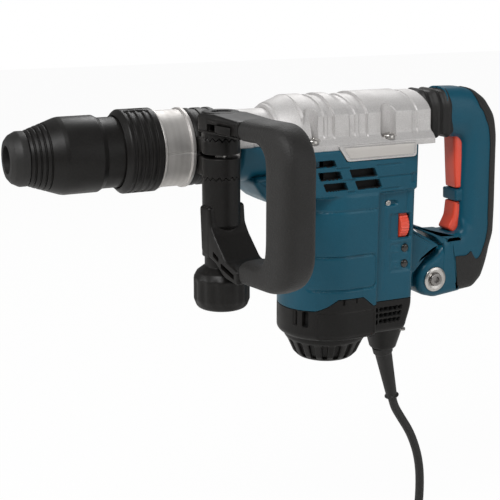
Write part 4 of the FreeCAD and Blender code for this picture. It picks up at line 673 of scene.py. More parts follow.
@dataclass
class Nose:
    """Dust cap, locking sleeve, setting ring, collar and neck, all turned about the barrel."""
    ring_radius: float = 34.1
    rib_sectors: int = 2
    rib_sector_share: float = 0.88

    def build(self) -> None:
        """Builds each ring from nose to gear cover."""
        cap = rounded([(0, 11.2), (0, 15.6, 1.2), (2.8, 19.0, 2.5), (8.2, 21.7, 3), (13.9, 21.7, 0.8),
                       (13.9, 15.6), (9, 15.6), (9, 11.2)])
        Skin().lathe(cap, count=112).piece("dust_cap_rubber", "tool_holder", SOFT, stands_for=("dust_cap",))
        self.sleeve()
        self.ring()
        collar = rounded([(112.2, 19.2), (112.2, 23.5), (119.5, 23.5), (119.5, 32.5, 0.6), (122, 32.5, 0.6),
                          (122, 31.5, 0.3), (143, 31.5, 0.4), (143, 33, 0.8), (146.5, 33, 0.8), (146.5, 24.1),
                          (140, 24.1), (140, 19.2)])

        def part_line(along: np.ndarray, radius: np.ndarray, angle: np.ndarray) -> np.ndarray:
            """A groove 0.5 mm deep along the joint on both sides."""
            off = np.abs((angle + math.pi / 2) % math.pi - math.pi / 2)
            return radius - 0.5 * (1 - ease(off * 31.5, 0.3, 0.8)) * (radius > 30) * slab(along, 122, 147)

        Skin().lathe(collar, count=360, change=part_line).piece(
            "collar_turned", "housing", TURNED, stands_for=("front_collar",), sharp=30)
        neck = rounded([(146.5, 24.05), (146.5, 28.5), (183, 28.5), (183, 28.9, 0.3), (187, 28.9, 0.3),
                        (187, 28.45), (236, 28.45), (236, 24.05)])
        Skin().lathe(neck, count=120).piece("neck_cast", "housing", CAST, stands_for=("neck_tube",))

    def sleeve(self) -> None:
        """Locking sleeve: a cone with four grip grooves, a cylinder and a rear skirt."""
        outline = [(14.3, 15.9), (14.3, 21.4, 0.6)]
        for k in range(4):
            start = 17.0 + 3.9 * k
            surface = 21.8 + (30.4 - 21.8) / (39.6 - 14.2) * (start - 14.2)
            outline += [(start - 0.1, surface - 0.1, 0.4), (start + 0.15, surface - 1.4, 0.4),
                        (start + 1.1, surface - 1.2, 0.4), (start + 1.35, surface + 0.35, 0.4)]
        outline += [(39.4, 30.3, 1.5), (42.5, 30.9, 1.5), (69.6, 30.9, 1.5), (74, 28.5, 0.8), (95, 28.5, 0.6),
                    (95, 26), (66, 26), (66, 15.9)]
        Skin().lathe(rounded(outline), count=128).piece(
            "locking_sleeve_shell", "locking_sleeve", BLACK, stands_for=("locking_sleeve",), sharp=45)

    def ring(self) -> None:
        """Setting ring: grooves that run round it between smooth bridges, and a window on top."""
        xs = np.concatenate((np.linspace(88, 94, 12), np.linspace(94.4, 118, 60),
                             np.linspace(118.2, 119.2, 6)))
        outer = self.ring_radius - 3.9 * (1 - ease(xs, 87.2, 92.4)) - 1.6 * ease(xs, 117.7, 119.6) ** 2
        inner_x = np.array((119.2, 112.3, 112.3, 88.0))
        profile = np.vstack((np.stack((xs, outer), 1), np.stack((inner_x, (24.6, 24.6, 29.3, 29.3)), 1)))
        pitch = 2 * math.pi / self.rib_sectors

        def ribs(along: np.ndarray, radius: np.ndarray, angle: np.ndarray) -> np.ndarray:
            """Sinks a panel 1.3 mm and raises three round-ended ribs in it, by arc length."""
            arc = ((angle + pitch / 2) % pitch - pitch / 2) * self.ring_radius
            half = self.rib_sector_share * pitch / 2 * self.ring_radius
            sink = patch(arc, along, (-half, 93.4, half, 114.2), 2.0, 0.5)
            rib = sum(patch(arc, along, (-half + 1.6, x - 1.75, half - 1.6, x + 1.75), 1.7, 0.7)
                      for x in (97.6, 103.8, 110.0))
            new = radius - 1.3 * sink * (1 - np.clip(rib, 0, 1))
            top = (angle - math.pi / 2 + math.pi) % (2 * math.pi) - math.pi
            return np.where(radius > 29.8, new - 1.0
                            * patch(top * 34, along, (-3.2, 99, 3.2, 111.5), 0.6, 0.4), radius)

        Skin().lathe(profile, count=420, change=ribs).piece(
            "setting_ring_shell", "setting_ring", BLACK, stands_for=("setting_ring",), sharp=45)


# ----------------------------------------------------------------- gear cover

@dataclass
class GearCover:
    """Cast cover over the gears: finned blocks on a flange, with pockets for four screws."""
    start: float = 241.0
    end: float = 372.0
    valley: float = 2.2
    screws: tuple = ((250.0, 37.0), (326.0, 37.0))
    scallop: float = 7.6

    def shrink(self, x: np.ndarray) -> np.ndarray:
        """How far the section is drawn in at x: 0 on the blocks and valley in the grooves."""
        deep = np.full_like(x, self.valley)
        for low, high, depth in ((242, 257, 0.0), (262.5, 266, 1.1), (272, 287, 0.0), (293, 297, 1.1),
                                 (305, 351, 0.0), (351.5, 354.5, 1.9), (357, 371.4, 1.2)):
            deep = deep + (depth - deep) * slab(x, low + 0.5, high - 0.5, 0.9)
        return deep

    def build(self) -> None:
        """Builds the finned body, the cone round the neck, tabs, labels and screws."""
        x = np.linspace(self.start, self.end, 330)
        half = [(42.0, -5.9, 0.8), (42.0, -1.2, 0.8), (36.4, 5.0, 1.8), (35.6, 23.5, 2.5)]
        top = [(51 * math.sin(a), 39.0 - 51 + 51 * math.cos(a)) for a in np.linspace(0.66, 0, 10)]
        right = rounded([*half, *top], closed=False)
        line = spaced(np.vstack((right, (right * (-1, 1))[::-1][1:])), 300, closed=False)
        section = np.vstack((line, ((-42.0, -5.9), (42.0, -5.9))))
        ahead = np.gradient(line, axis=0)
        ahead /= np.linalg.norm(ahead, axis=1, keepdims=True)
        normal = np.vstack((np.stack((ahead[:, 1], -ahead[:, 0]), 1), ((0, 0), (0, 0))))
        normal *= np.sign(normal[150, 1])
        draw = self.shrink(x)[:, None] * ease(section[:, 1], 2.0, 8.0)[None]
        y = section[None, :, 0] - draw * normal[None, :, 0]
        z = section[None, :, 1] - draw * normal[None, :, 1]
        z = z - 1.6 * ease(x, 280, 287)[:, None] * (1 - ease(x, 287, 300))[:, None] * ease(z, 30, 38)
        for place_x, place_y in self.screws:
            across = self.scallop ** 2 - (x - place_x) ** 2
            wall = np.where(across > 0, place_y - np.sqrt(np.maximum(across, 0)), 99.0)[:, None]
            rise = z > 2.4
            y = np.where(rise, np.clip(y, -wall, wall), y)
        grid = np.stack((x[:, None] + 0 * y, y, z), -1)
        skin = Skin().grid(grid, wrap_v=True)
        cone = rounded([(222, 28.6), (222, 31.3, 0.8), (224.6, 31.9, 0.4), (225.2, 33.2, 0.5),
                        (241, 38.7, 1.5), (249, 38.7), (249, 28.6)], step=25)
        skin.arch(cone, -0.02, math.pi + 0.02, 90)
        for side in (-1, 1):
            self.tab(skin, side)
            strip = rounded([(196, 28.0, 1), (204, 30.2, 2), (222, 32.2), (242, 32.2), (242, 28.0)])
            skin.prism(strip * (1, side), 0.1, 3.4, 0.6, "XY")
        skin.piece("gear_cover_cast", "housing", CAST, stands_for=("gear_housing",), sharp=42)
        self.labels()
        self.heads()

    def tab(self, skin: Skin, side: int) -> None:
        """A tab that hangs from the flange, with a raised rim round the label's place."""
        outer = rounded([(271.5, -2.0, 1), (281.5, -15.9, 3), (351.6, -15.9, 3), (351.6, -2.0, 1)])
        inner = rounded([(275.6, -3.2, 1.5), (283.2, -14.5, 2.4), (350.1, -14.5, 2.4), (350.1, -3.2, 1.5)])
        near, far = sorted((39.0 * side, 42.9 * side))
        skin.prism(spaced(outer, 150), near, far, 0.6)
        out, flat = spaced(outer, 150), spaced(inner, 150)
        rim = np.stack((out, out * 0.97 + flat * 0.03, flat, flat), 0)
        height = np.array((42.4, 43.7, 43.7, 42.4))[:, None] * side + 0 * rim[..., 0]
        skin.grid(np.stack((rim[..., 0], height, rim[..., 1]), -1), wrap_u=True, wrap_v=True)

    def labels(self) -> None:
        """Blank satin labels on both tabs."""
        skin = Skin()
        plate = spaced(rounded([(277.6, -4.2, 1.2), (284.4, -13.7, 1.6), (348.8, -13.7, 1.6),
                                (348.8, -4.2, 1.2)]), 90)
        for side in (-1, 1):
            near, far = sorted((42.7 * side, 43.2 * side))
            skin.prism(plate, near, far, 0.2)
        skin.piece("label_foils", "housing", LABEL, stands_for=("label_plates",))

    def heads(self) -> None:
        """Domed screw heads with a star socket in their pockets."""
        skin = Skin()
        head = rounded([(1.0, 0), (1.0, 5.9, 0.3), (3.8, 5.7, 1.8), (5.6, 3.0, 1.0), (5.6, 2.2, 0.2),
                        (3.0, 2.0), (3.0, 0)], closed=False)
        for x, y in self.screws:
            for side in (-1, 1):
                skin.lathe(head, "Z", (x, side * y, 0), 48, star_socket(1.0, 2.3, 0.35))
        skin.piece("cover_screw_heads", "housing", BRIGHT, stands_for=("cover_screws",))


# ---------------------------------------------------------------- motor housing

def case_line() -> np.ndarray:
    """Plan of the motor part: round front of radius 44.5, flat sides, narrower rear."""
    turn = np.linspace(math.pi / 2, 3 * math.pi / 2, 60)
    front = np.stack((287 + 44.5 * np.cos(turn), 44.5 * np.sin(turn)), 1)
    rear = rounded([(300, -44.5), (313.5, -44.5, 1.5), (316.5, -38.7, 1.5), (356.5, -38.5, 5),
                    (356.5, 38.5, 5), (316.5, 38.7, 1.5), (313.5, 44.5, 1.5), (300, 44.5)], closed=False)
    return np.vstack((front, rear))


def gear_case_line() -> np.ndarray:
    """Plan of the upper part: blunt front with round corners, tapering to the rear."""
    return rounded([(240, -36, 8), (243, -43.8, 9), (314, -43.8, 3), (340, -42.5, 6), (356.5, -40.5, 3),
                    (356.5, 40.5, 3), (340, 42.5, 6), (314, 43.8, 3), (243, 43.8, 9), (240, 36, 8)])


def reach_at(line: np.ndarray, angle: np.ndarray, centre: float) -> np.ndarray:
    """How far a closed line lies from (centre, 0) in each direction."""
    dense = spaced(line, 2400) - (centre, 0)
    around = np.arctan2(dense[:, 1], dense[:, 0])
    order = np.argsort(around)
    return np.interp(angle, around[order], np.hypot(dense[:, 0], dense[:, 1])[order], period=2 * math.pi)


def seam_height(x: np.ndarray) -> np.ndarray:
    """Height of the wavy joint between the motor housing and the bottom cap."""
    return np.interp(x, (235, 258, 266, 275, 300, 311, 314, 357),
                     (-150, -148.5, -144.5, -138, -138, -147.5, -146, -146.5))


@dataclass
class MotorCase:
    """Blue nylon housing round motor and gears, with louvres, panels and the speed wheel's well."""
    centre: float = 300.0
    top: float = -6.0
    step: float = -45.5
    around: int = 460
    levels: int = 205
    # Louvres as (left, right, high, low) at the upper edge; they lean back as they go down.
    louvres: tuple = ((247.7, 267.9, -13.4, -19.6), (252.0, 273.7, -23.4, -30.9),
                      (257.6, 279.4, -33.4, -40.6),
                      (282.9, 308.4, -22.8, -30.8), (288.6, 313.6, -33.0, -41.2))
    louvre_lean: float = 0.45
    louvre_depth: float = 7.0
    # Shallow lines between the louvres as (height, start, end).
    dashes: tuple = ((-21.3, 270, 283), (-32.0, 276, 289), (-31.9, 311, 352), (-42.3, 282, 289),
                     (-42.3, 316, 336), (-21.3, 311, 338))
    # Sunk panels as (box, corner, softness, depth): wheel, lenses, screw slot and rear notch.
    recesses: tuple = (((329.5, -91, 352, -66.5), 2.2, 0.7, 1.6), ((331, -121, 352.5, -93.5), 2.2, 0.7, 1.1),
                       ((323.6, -59.4, 336, -54.6), 1.5, 0.5, 2.6), ((350, -40, 360, -30), 1, 0.6, 1.5))
    groove: float = 0.8
    wheel_well: tuple = (339.6, -89.6, 349.8, -68.4)
    well_depth: float = 9.0
    lens_heights: tuple = (-99.5, -114.0)
    lens_x: float = 346.7

    def surface(self, top: Callable, low: Callable, levels: int) -> tuple[np.ndarray, np.ndarray]:
        """Grid of the side wall between two heights that depend on x.

        The outline's reach at each angle is the gear case's above the step and the motor
        part's below it, with a smooth step between them.

        Args:
            top: height of the upper edge for x.
            low: height of the lower edge for x.
            levels: rows of the grid.
        Returns:
            The grid and the outline's outward normals.
        """
        line = case_line()
        dense = spaced(line, 4000)
        crowd = np.cumsum(1 + 2.2 * slab(dense[:, 0], 246, 319, 4))
        at = np.linspace(crowd[0], crowd[-1], self.around, endpoint=False)
        plan = np.stack([np.interp(at, crowd, dense[:, k]) for k in (0, 1)], 1)
        angle = np.arctan2(plan[:, 1], plan[:, 0] - self.centre)
        lower, upper = (reach_at(line, angle, self.centre) for line in (case_line(), gear_case_line()))
        crowd = np.linspace(0, 1, 2000)
        dense = np.cumsum(1 + 1.8 * slab(crowd, 0.0, 0.28, 0.02)) - 1
        t = np.interp(np.linspace(0, dense[-1], levels), dense, crowd)[:, None]
        x = self.centre + lower * np.cos(angle)
        z = top(x)[None] * (1 - t) + low(x)[None] * t
        up = ease(z, self.step - 2.2, self.step + 1.2)
        reach = lower + (upper - lower) * up
        flat = np.stack((self.centre + reach * np.cos(angle), reach * np.sin(angle)), -1)
        ahead = np.roll(flat, -1, 1) - np.roll(flat, 1, 1)
        ahead /= np.linalg.norm(ahead, axis=-1, keepdims=True)
        normal = np.stack((ahead[..., 1], -ahead[..., 0]), -1)
        normal *= np.sign(np.sum(normal[:, :1, 0] * np.cos(angle[0]) + normal[:, :1, 1] * np.sin(angle[0])))
        return np.concatenate((flat, z[..., None]), -1), normal

    def sinks(self, x: np.ndarray, z: np.ndarray) -> tuple[np.ndarray, np.ndarray]:
        """Depth of the side's features at x, z: louvres and everything else.

        Args:
            x: distance along the tool.
            z: height.
        Returns:
            Depth of the louvres and depth of the shallow features, in millimetres.
        """
        slots = np.zeros_like(x)
        for left, right, high, low in self.louvres:
            lean = (high - z) * self.louvre_lean
            slots = np.maximum(slots, patch(x - lean, z, (left, low, right, high), 1.0, 0.7))
        shallow = 0.0
        for height, start, end in self.dashes:
            shallow = shallow + 0.7 * slab(z, height - 0.5, height + 0.5, 0.4) * slab(x, start, end, 1)
        panel = patch(x, z, (250.6, -129.4, 312.4, -100.1), 5, 0.7)
        frame_line = patch(x, z, (249, -131, 314, -98.5), 6, 0.7) - panel
        shallow = shallow + 1.5 * frame_line + 0.5 * panel
        shallow = shallow + self.groove * (slab(z, -60.2, -59.2, 0.5) * slab(x, 252, 315, 1)
                                           + slab(x, 347.1, 348.1, 0.4) * slab(z, -65.5, -46, 1)
                                           + slab(x, 322.7, 323.5, 0.4) * slab(z, -134, -46, 1))
        for box, corner, soft, depth in self.recesses:
            shallow = shallow + depth * patch(x, z, box, corner, soft)
        for height in self.lens_heights:
            outer = patch(x, z, (333.2, height - 3.4, 341, height + 3.4), 1.2, 0.4)
            inner = patch(x, z, (334.2, height - 2.4, 340, height + 2.4), 0.8, 0.4)
            dot = 1 - ease(np.hypot(x - 337.1, z - height), 1.0, 1.6)
            well = 1 - ease(np.hypot(x - self.lens_x, z - height), 4.0, 4.5)
            shallow = shallow - 0.5 * (outer - inner) - 0.5 * dot + self.groove * well
        left = np.interp(z, (-16.5, -2.0), (281.2, 271.8))
        under_label = ease(x, left - 0.6, left) * (1 - ease(x, 352.0, 352.6)) * ease(z, -16.6, -16.0)
        wheel = patch(x, z, self.wheel_well, 0.8, 0.4)
        return self.louvre_depth * slots + self.well_depth * wheel, shallow + 4.6 * under_label

    def build(self) -> None:
        """Builds housing wall, lid, nose barrel, gusset, rear bracket, wheel, lenses and screws."""
        grid, normal = self.surface(lambda x: 0 * x + self.top, lambda x: seam_height(x) + 0.35, self.levels)
        x, z = grid[..., 0], grid[..., 2]
        deep, shallow = self.sinks(x, z)
        side = ease(np.abs(normal[..., 1]), 0.55, 0.8)
        move = (deep + shallow) * side
        rim = 1.4 * (1 - np.sqrt(np.clip(1 - (1 - np.clip((self.top - z) / 1.4, 0, 1)) ** 2, 0, 1)))
        grid[..., :2] -= normal * (move + rim)[..., None]
        # Painted shade: faces sunk more than 4 mm (louvres and the wheel's well) take the near-black second
        # finish.
        dark = ((deep * side)[:-1] > 4.0)
        dark = dark | np.roll(dark, -1, 1)
        skin = Skin().grid(grid, wrap_v=True, caps=True, finish=dark.astype(int))
        # The lid keeps the blue; the bottom face takes the painted shade.
        skin.finishes[-2:] = [0, 1]
        self.barrel(skin)
        self.bracket(skin)
        skin.piece("motor_case_moulded", "housing", BLUE, PAINTED_SHADE, stands_for=("motor_housing",), sharp=50)
        self.fittings()

    def barrel(self, skin: Skin) -> None:
        """Half barrel under the neck and the gusset that runs down from it to the motor part."""
        half_barrel = rounded([(187.5, 28.9), (187.5, 30.6, 1.0), (190, 32.4, 1.5), (246, 32.6), (246, 28.9)],
                              step=25)
        skin.arch(half_barrel, math.pi, 2 * math.pi, 80)
        gusset = rounded([(198, -27, 4), (209.8, -43.5, 5), (217, -49.5, 6), (249, -63, 3), (258, -63),
                          (258, -24)])
        skin.prism(spaced(gusset, 120), -26, 26, 4.0, bulge=0.4)
        skin.prism(spaced(rounded([(236, -16, 4), (240, -45, 6), (262, -46), (262, -7), (236, -7, 3)]), 90),
                   -39, 39, 6.0)

    def bracket(self, skin: Skin) -> None:
        """Triangular arm behind the motor part that reaches over the pivot, and the pivot's lug."""
        arm = rounded([(350, -80, 1), (358, -81.5, 2), (370, -90.5, 4), (391, -102.6, 3), (398, -107.5, 2.5),
                       (390, -109.5, 3), (384, -113, 6), (370, -128, 4), (358, -134, 3), (350, -134)])
        skin.prism(spaced(arm, 150), -22, 22, 2.4)
        ridge = rounded([(356, -86, 2), (368, -94, 3), (384, -103.5, 2), (371, -122, 3), (356, -129, 2)])
        skin.prism(spaced(ridge, 90), -22.7, 22.7, 0.7)
        lug = rounded([(352, -126), (374, -126, 4), (394, -127.5, 10), (405.4, -139, 10), (394, -150.5, 10),
                       (372, -146, 6), (352, -144)])
        skin.prism(spaced(lug, 90), -9.5, 9.5, 1.0)

    def fittings(self) -> None:
        """The thumbwheel with its ridges, the two lenses and the countersunk screws."""
        profile = rounded([(340.2, 0), (340.2, 12.6, 0.6), (341, 13.4, 0.4), (348.4, 13.4, 0.4),
                           (349.2, 12.6, 0.6), (349.2, 0)], closed=False)

        def ridge(along: np.ndarray, radius: np.ndarray, angle: np.ndarray) -> np.ndarray:
            """Thirty round ridges across the rim."""
            return radius - 0.55 * (0.5 + 0.5 * np.cos(30 * angle)) ** 0.7 * (radius > 12)

        Skin().lathe(profile, "X", (0, -27.2, -79), 360, ridge).piece(
            "speed_wheel_ridged", "speed_wheel", RED, stands_for=("speed_wheel",), sharp=60)
        lenses, screws = Skin(), Skin()
        dome = rounded([(-34.0, 0), (-34.0, 3.7), (-37.6, 3.7, 0.5), (-38.6, 2.4, 2), (-38.8, 0)],
                       closed=False)
        for height in self.lens_heights:
            lenses.lathe(dome, "Y", (self.lens_x, 0, height), 40)
        lenses.piece("indicator_windows", "housing", LENS, stands_for=("indicator_lenses",))
        head = rounded([(33.5, 0), (33.5, 2.3), (37.0, 2.6, 0.2), (37.6, 2.4, 0.2), (37.5, 1.5, 0.1),
                        (36.2, 1.2), (36.2, 0)], closed=False)

        for side in (-1, 1):
            screws.lathe(head * (side, 1), "Y", (327.6, 0, -57), 48, star_socket(1.0, 1.6, 0.2))
        screws.piece("side_screw_heads", "housing", BRIGHT, stands_for=("side_screws",))


# ----------------------------------------------------------------- bottom cap

@dataclass
class BottomCap:
    """Black cap under the motor with louvres, cord boss and the domed intake grille."""
    low: float = -177.0
    fillet: float = 6.0

    def build(self) -> None:
        """Builds the cap's wall, boss and grille, with painted shade inside the louvres."""
        case = MotorCase()
        grid, normal = case.surface(lambda x: seam_height(x) - 0.35, lambda x: 0 * x + self.low, 70)
        x, z = grid[..., 0], grid[..., 2]
        slots = self.vents(x, z)
        notch = sum(patch(x, z, (s - 0.9, -143.2, s + 0.9, -137), 0.5, 0.4) for s in (280.5, 293.0))
        side = ease(np.abs(normal[..., 1]), 0.3, 0.5)
        lip = 1.0 * patch(x, z, (258, -175, 312, -150), 4, 0.8)
        down = np.clip((self.low + self.fillet - z) / self.fillet, 0, 1)
        rim = self.fillet * (1 - np.sqrt(np.clip(1 - down ** 2, 0, 1)))
        grid[..., :2] -= normal * ((5.0 * slots + 1.4 * notch + lip) * side + rim)[..., None]
        grid[..., 0] -= 6.0 * ease(-z, 150, 178) * ease(x, 330, 354)
        # Painted shade: faces inside the vents take the near-black second finish.
        dark = (slots * side)[:-1] > 0.6
        skin = Skin().grid(grid, wrap_v=True, finish=dark.astype(int))
        boss = rounded([(-172, 0), (-172, 18), (-180, 17.4, 3), (-203, 12.4, 1.5), (-205, 10.9, 0.8),
                        (-202, 10.7), (-202, 0)], closed=False)
        profile = boss[:, 1:]
        turn = np.linspace(0, 2 * math.pi, 64, endpoint=False)[None]
        square = (np.abs(np.cos(turn)) ** 3 + np.abs(np.sin(turn)) ** 3) ** (-1 / 3)
        wide = 1 + (square - 1) * np.interp(boss[:, :1], (-203, -190), (0.2, 1.0))
        skin.grid(np.stack((350.4 + profile * wide * np.cos(turn), profile * wide * np.sin(turn),
                            boss[:, :1] + 0 * turn), -1), wrap_v=True, caps=False)
        skin.piece("bottom_cap_moulded", "housing", BLACK, PAINTED_SHADE, stands_for=("bottom_cap",), sharp=50)
        self.grille()

    @staticmethod
    def vents(x: np.ndarray, z: np.ndarray) -> np.ndarray:
        """1 inside three rows of small holes at the rear and two long slots at the front."""
        boxes = [(left, low, left + 3.4, low + 4.2) for left in 315.6 + 5.3 * np.arange(6)
                 for low in (-167.2, -161.6, -156.0)]
        boxes += [(left, -164, left + 3.5, -149.5) for left in (243.5, 249.5)]
        return np.max([patch(x, z, box, 1.2, 0.5) for box in boxes], axis=0)

    def grille(self) -> None:
        """Domed intake: a ring of radial ribs between two rims."""
        profile = rounded([(-176.5, 0), (-176.5, 38, 0.8), (-181, 37.6, 1.5), (-184, 35.5, 2),
                           (-196, 30.0, 4), (-200.6, 25.5, 3), (-201, 0)], closed=False)
        profile = np.vstack((profile[:1], spaced(profile[1:-1], 40, closed=False), profile[-1:]))

        def ribs(along: np.ndarray, radius: np.ndarray, angle: np.ndarray) -> np.ndarray:
            """Eighteen openings sunk 3 mm between the ribs."""
            gap = ease(np.cos(18 * angle), -0.1, 0.45)
            return radius - 3.0 * gap * slab(along, -197.5, -183.5, 0.7)

        Skin().lathe(profile, "Z", (287, 0, 0), 288, ribs).piece(
            "intake_dome", "housing", BLACK, stands_for=("intake_grille",), sharp=50)


# ---------------------------------------------------------------- rear handle

@dataclass
class RearHandle:
    """Sprung D-handle: blue shells with a grained rubber back, trigger and lever."""
    half: float = 18.6
    tongue_half: float = 17.6
    rows: int = 220
    outer: tuple = ((401, 39.2), (421, 38.6, 30), (436, 35.6, 24), (449, 27, 22), (460.5, 12, 26),
                    (464.3, -6, 60),
                    (466.5, -78, 80), (466.4, -104, 30), (460.5, -124, 30), (450, -145, 12), (441, -153.6, 9),
                    (424, -154.8), (404, -156.6))
    inner: tuple = ((401, -5.0), (412, -7, 6), (424.6, -10, 10), (425.0, -40), (425.4, -72),
                    (425.6, -97.6, 9), (412, -98.2), (404, -98.6))

    def lines(self) -> tuple[np.ndarray, np.ndarray]:
        """Inner and outer lines with matching points from the bellows round to the pivot."""
        out = spaced(rounded(self.outer, closed=False, step=6), self.rows, closed=False)
        inn = spaced(rounded(self.inner, closed=False, step=6), self.rows, closed=False)
        return inn, out

    def build(self) -> None:
        """Builds both shells, the rubber, the guard, trigger, lever, pivot caps and bellows."""
        inner, outer = self.lines()
        u = np.linspace(0, 1, self.rows)
        half = self.half + 0.6 * np.cos(2 * math.pi * u)
        edge = np.interp(u, (0, 0.10, 0.125, 0.16, 0.22, 0.62, 0.72, 0.78, 0.83, 0.935, 0.94, 1.0),
                         (0.02, 0.02, 0.85, 1.2, 1.32, 1.32, 1.22, 1.4, 1.58, 1.6, 0.02, 0.02))
        for label, way in (("left", -1), ("right", 1)):
            t = edge[:, None] + (math.pi - edge[:, None]) * np.linspace(0, 1, 44)[None]
            grid = self.section(inner, outer, half, t * way, 0.0)
            seam = (grid[:, -1:] + grid[:, :1]) / 2 * (1, 0, 1)
            skin = Skin().grid(np.concatenate((grid, seam), 1), wrap_v=True)
            end = rounded([(426, -98.0, 2), (402.0, -98.4, 3), (404.5, -108.2, 4), (394.5, -116.8, 6),
                           (381, -125, 14),
                           (375.0, -139, 16), (379, -153, 14), (396, -158.0, 16), (426, -155.2, 2)])
            self.half_prism(skin, spaced(end, 120), way * self.half, 6.5)
            tongue = rounded([(416, -97.9, 1), (402, -97.2, 8), (374, -86.2, 1.2), (371.4, -88.4, 1.2),
                              (394, -98.9, 2), (403, -107.0, 2), (416, -107.0, 1)])
            self.half_prism(skin, spaced(tongue, 110), way * self.tongue_half, 2.0)
            if way < 0:
                self.guard(skin)
            skin.piece(f"handle_shell_{label}_moulded", "rear_handle", BLUE,
                       stands_for=(f"handle_shell_{label}",), sharp=50)
        rows = slice(int(0.10 * self.rows), int(0.94 * self.rows))
        t = edge[rows, None] * np.linspace(-1, 1, 61)[None]
        skin = Skin().grid(np.concatenate((
            self.section(inner[rows], outer[rows], half[rows], t, 0.7),
            self.section(inner[rows], outer[rows], half[rows], t[:, ::-1], -1.5)), 1), wrap_v=True)
        skin.piece("handle_rubber_grained", "rear_handle", RUBBER, stands_for=("handle_rubber",), sharp=60)
        self.controls()
        self.pivot()
        self.bellows()

    @staticmethod
    def half_prism(skin: Skin, outline: np.ndarray, reach: float, fillet: float) -> None:
        """A prism from the middle plane to reach on one side, round at its outer rim."""
        sharp = 0.3
        low, high = sorted((0.0, reach))
        first, last = (fillet, sharp) if reach < 0 else (sharp, fillet)
        skin.prism(outline, low, high, first, far_fillet=last)

    def section(self, inner: np.ndarray, outer: np.ndarray, half: np.ndarray, t: np.ndarray,
                proud: float) -> np.ndarray:
        """The handle's tube at each row's own angles t: power 2.7, squarer along the bottom."""
        return loop_tube(inner, outer, half, 2.7 + 2.3 * ease(-outer[:, 1:], 118, 148), t, proud)

    def guard(self, skin: Skin) -> None:
        """The blue bridge between trigger and lever."""
        bridge = rounded([(420.0, -57.6, 1.5), (430, -57.6), (430, -68.6), (420.6, -68.6, 1.5)])
        skin.prism(bridge, -10.6, 10.6, 1.6)

    def controls(self) -> None:
        """Trigger above, locking lever below, both red with round edges."""
        trigger = rounded([(417.0, -5.5, 2.5), (429, -5.5), (429, -56.8), (421.6, -56.8, 2),
                           (419.6, -36, 30)])
        Skin().prism(spaced(trigger, 80), -9.2, 9.2, 2.6).piece(
            "trigger_moulded", "trigger", RED, stands_for=("trigger",))
        lever = rounded([(421.5, -69.6, 1.5), (430, -69.6), (430, -99, 3), (424, -101.5, 2.5),
                         (414.4, -94.8, 2.2), (420.2, -84, 12)])
        Skin().prism(spaced(lever, 80), -8.6, 8.6, 2.2).piece(
            "lock_lever_moulded", "lock_lever", RED, stands_for=("lock_lever",))

    def pivot(self) -> None:
        """Dished washers and socket screws at both ends of the pivot."""
        washers, pins, centre = Skin(), Skin(), (394, 0, -139)
        dish = rounded([(18.2, 6.2), (18.2, 11.7, 0.4), (20.0, 11.7, 0.6), (20.8, 9.4, 1.0), (20.0, 6.2)])
        cap = rounded([(12, 0), (12, 6.0), (22.4, 6.0, 0.8), (22.6, 3.4, 0.2), (20.4, 3.0), (20.4, 0)],
                      closed=False)
        axle = rounded([(-13, 0), (-13, 5.9), (13, 5.9), (13, 0)], closed=False)

        def socket(along: np.ndarray, radius: np.ndarray, angle: np.ndarray) -> np.ndarray:
            """Makes the socket's wall a hexagon 2.9 mm from flat to centre."""
            corner = np.abs(((angle + math.pi / 6) % (math.pi / 3)) - math.pi / 6)
            return np.where((radius > 2.5) & (radius < 3.6), 2.9 / np.cos(corner), radius)

        for side in (-1, 1):
            washers.lathe(dish * (side, 1), "Y", centre, 72)
            pins.lathe(cap * (side, 1), "Y", centre, 72, socket)
        pins.lathe(axle, "Y", centre, 72)
        washers.piece("pivot_washers_dished", "rear_handle", BRIGHT, stands_for=("pivot_washers",))
        pins.piece("pivot_socket_screws", "rear_handle", STEEL, stands_for=("pivot_pin",))

    def bellows(self) -> None:
        """Rubber bellows of three folds: the section swells as |sin| of the distance."""
        x = np.linspace(371.8, 409.4, 84)
        fold = np.abs(np.sin(math.pi * (x - 372.2) / 12.3)) ** 0.7
        arch = rounded([(-20, -5.5, 5), (20, -5.5, 5), (20, 25, 15), (12, 37.4, 10), (-12, 37.4, 10),
                        (-20, 25, 15)])
        line = spaced(arch, 120)
        grow = (4.4 * fold - 4.0 + 0.5 * np.cos(2 * math.pi * (x - 372.2) / 6.15))[:, None]
        flat = line[None] + outward(line)[None] * grow[..., None]
        outside = np.stack((x[:, None] + 0 * flat[..., 0], flat[..., 0], flat[..., 1]), -1)
        inside = outside.copy()
        inside[..., 1:] -= outward(line)[None] * 1.6
        made = Skin().grid(np.concatenate((outside, inside[::-1]), 0), wrap_u=True, wrap_v=True).piece(
            "bellows_folded", "", SOFT, stands_for=("bellows",), sharp=60)
        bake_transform(made)


# ---------------------------------------------------------------- side handle

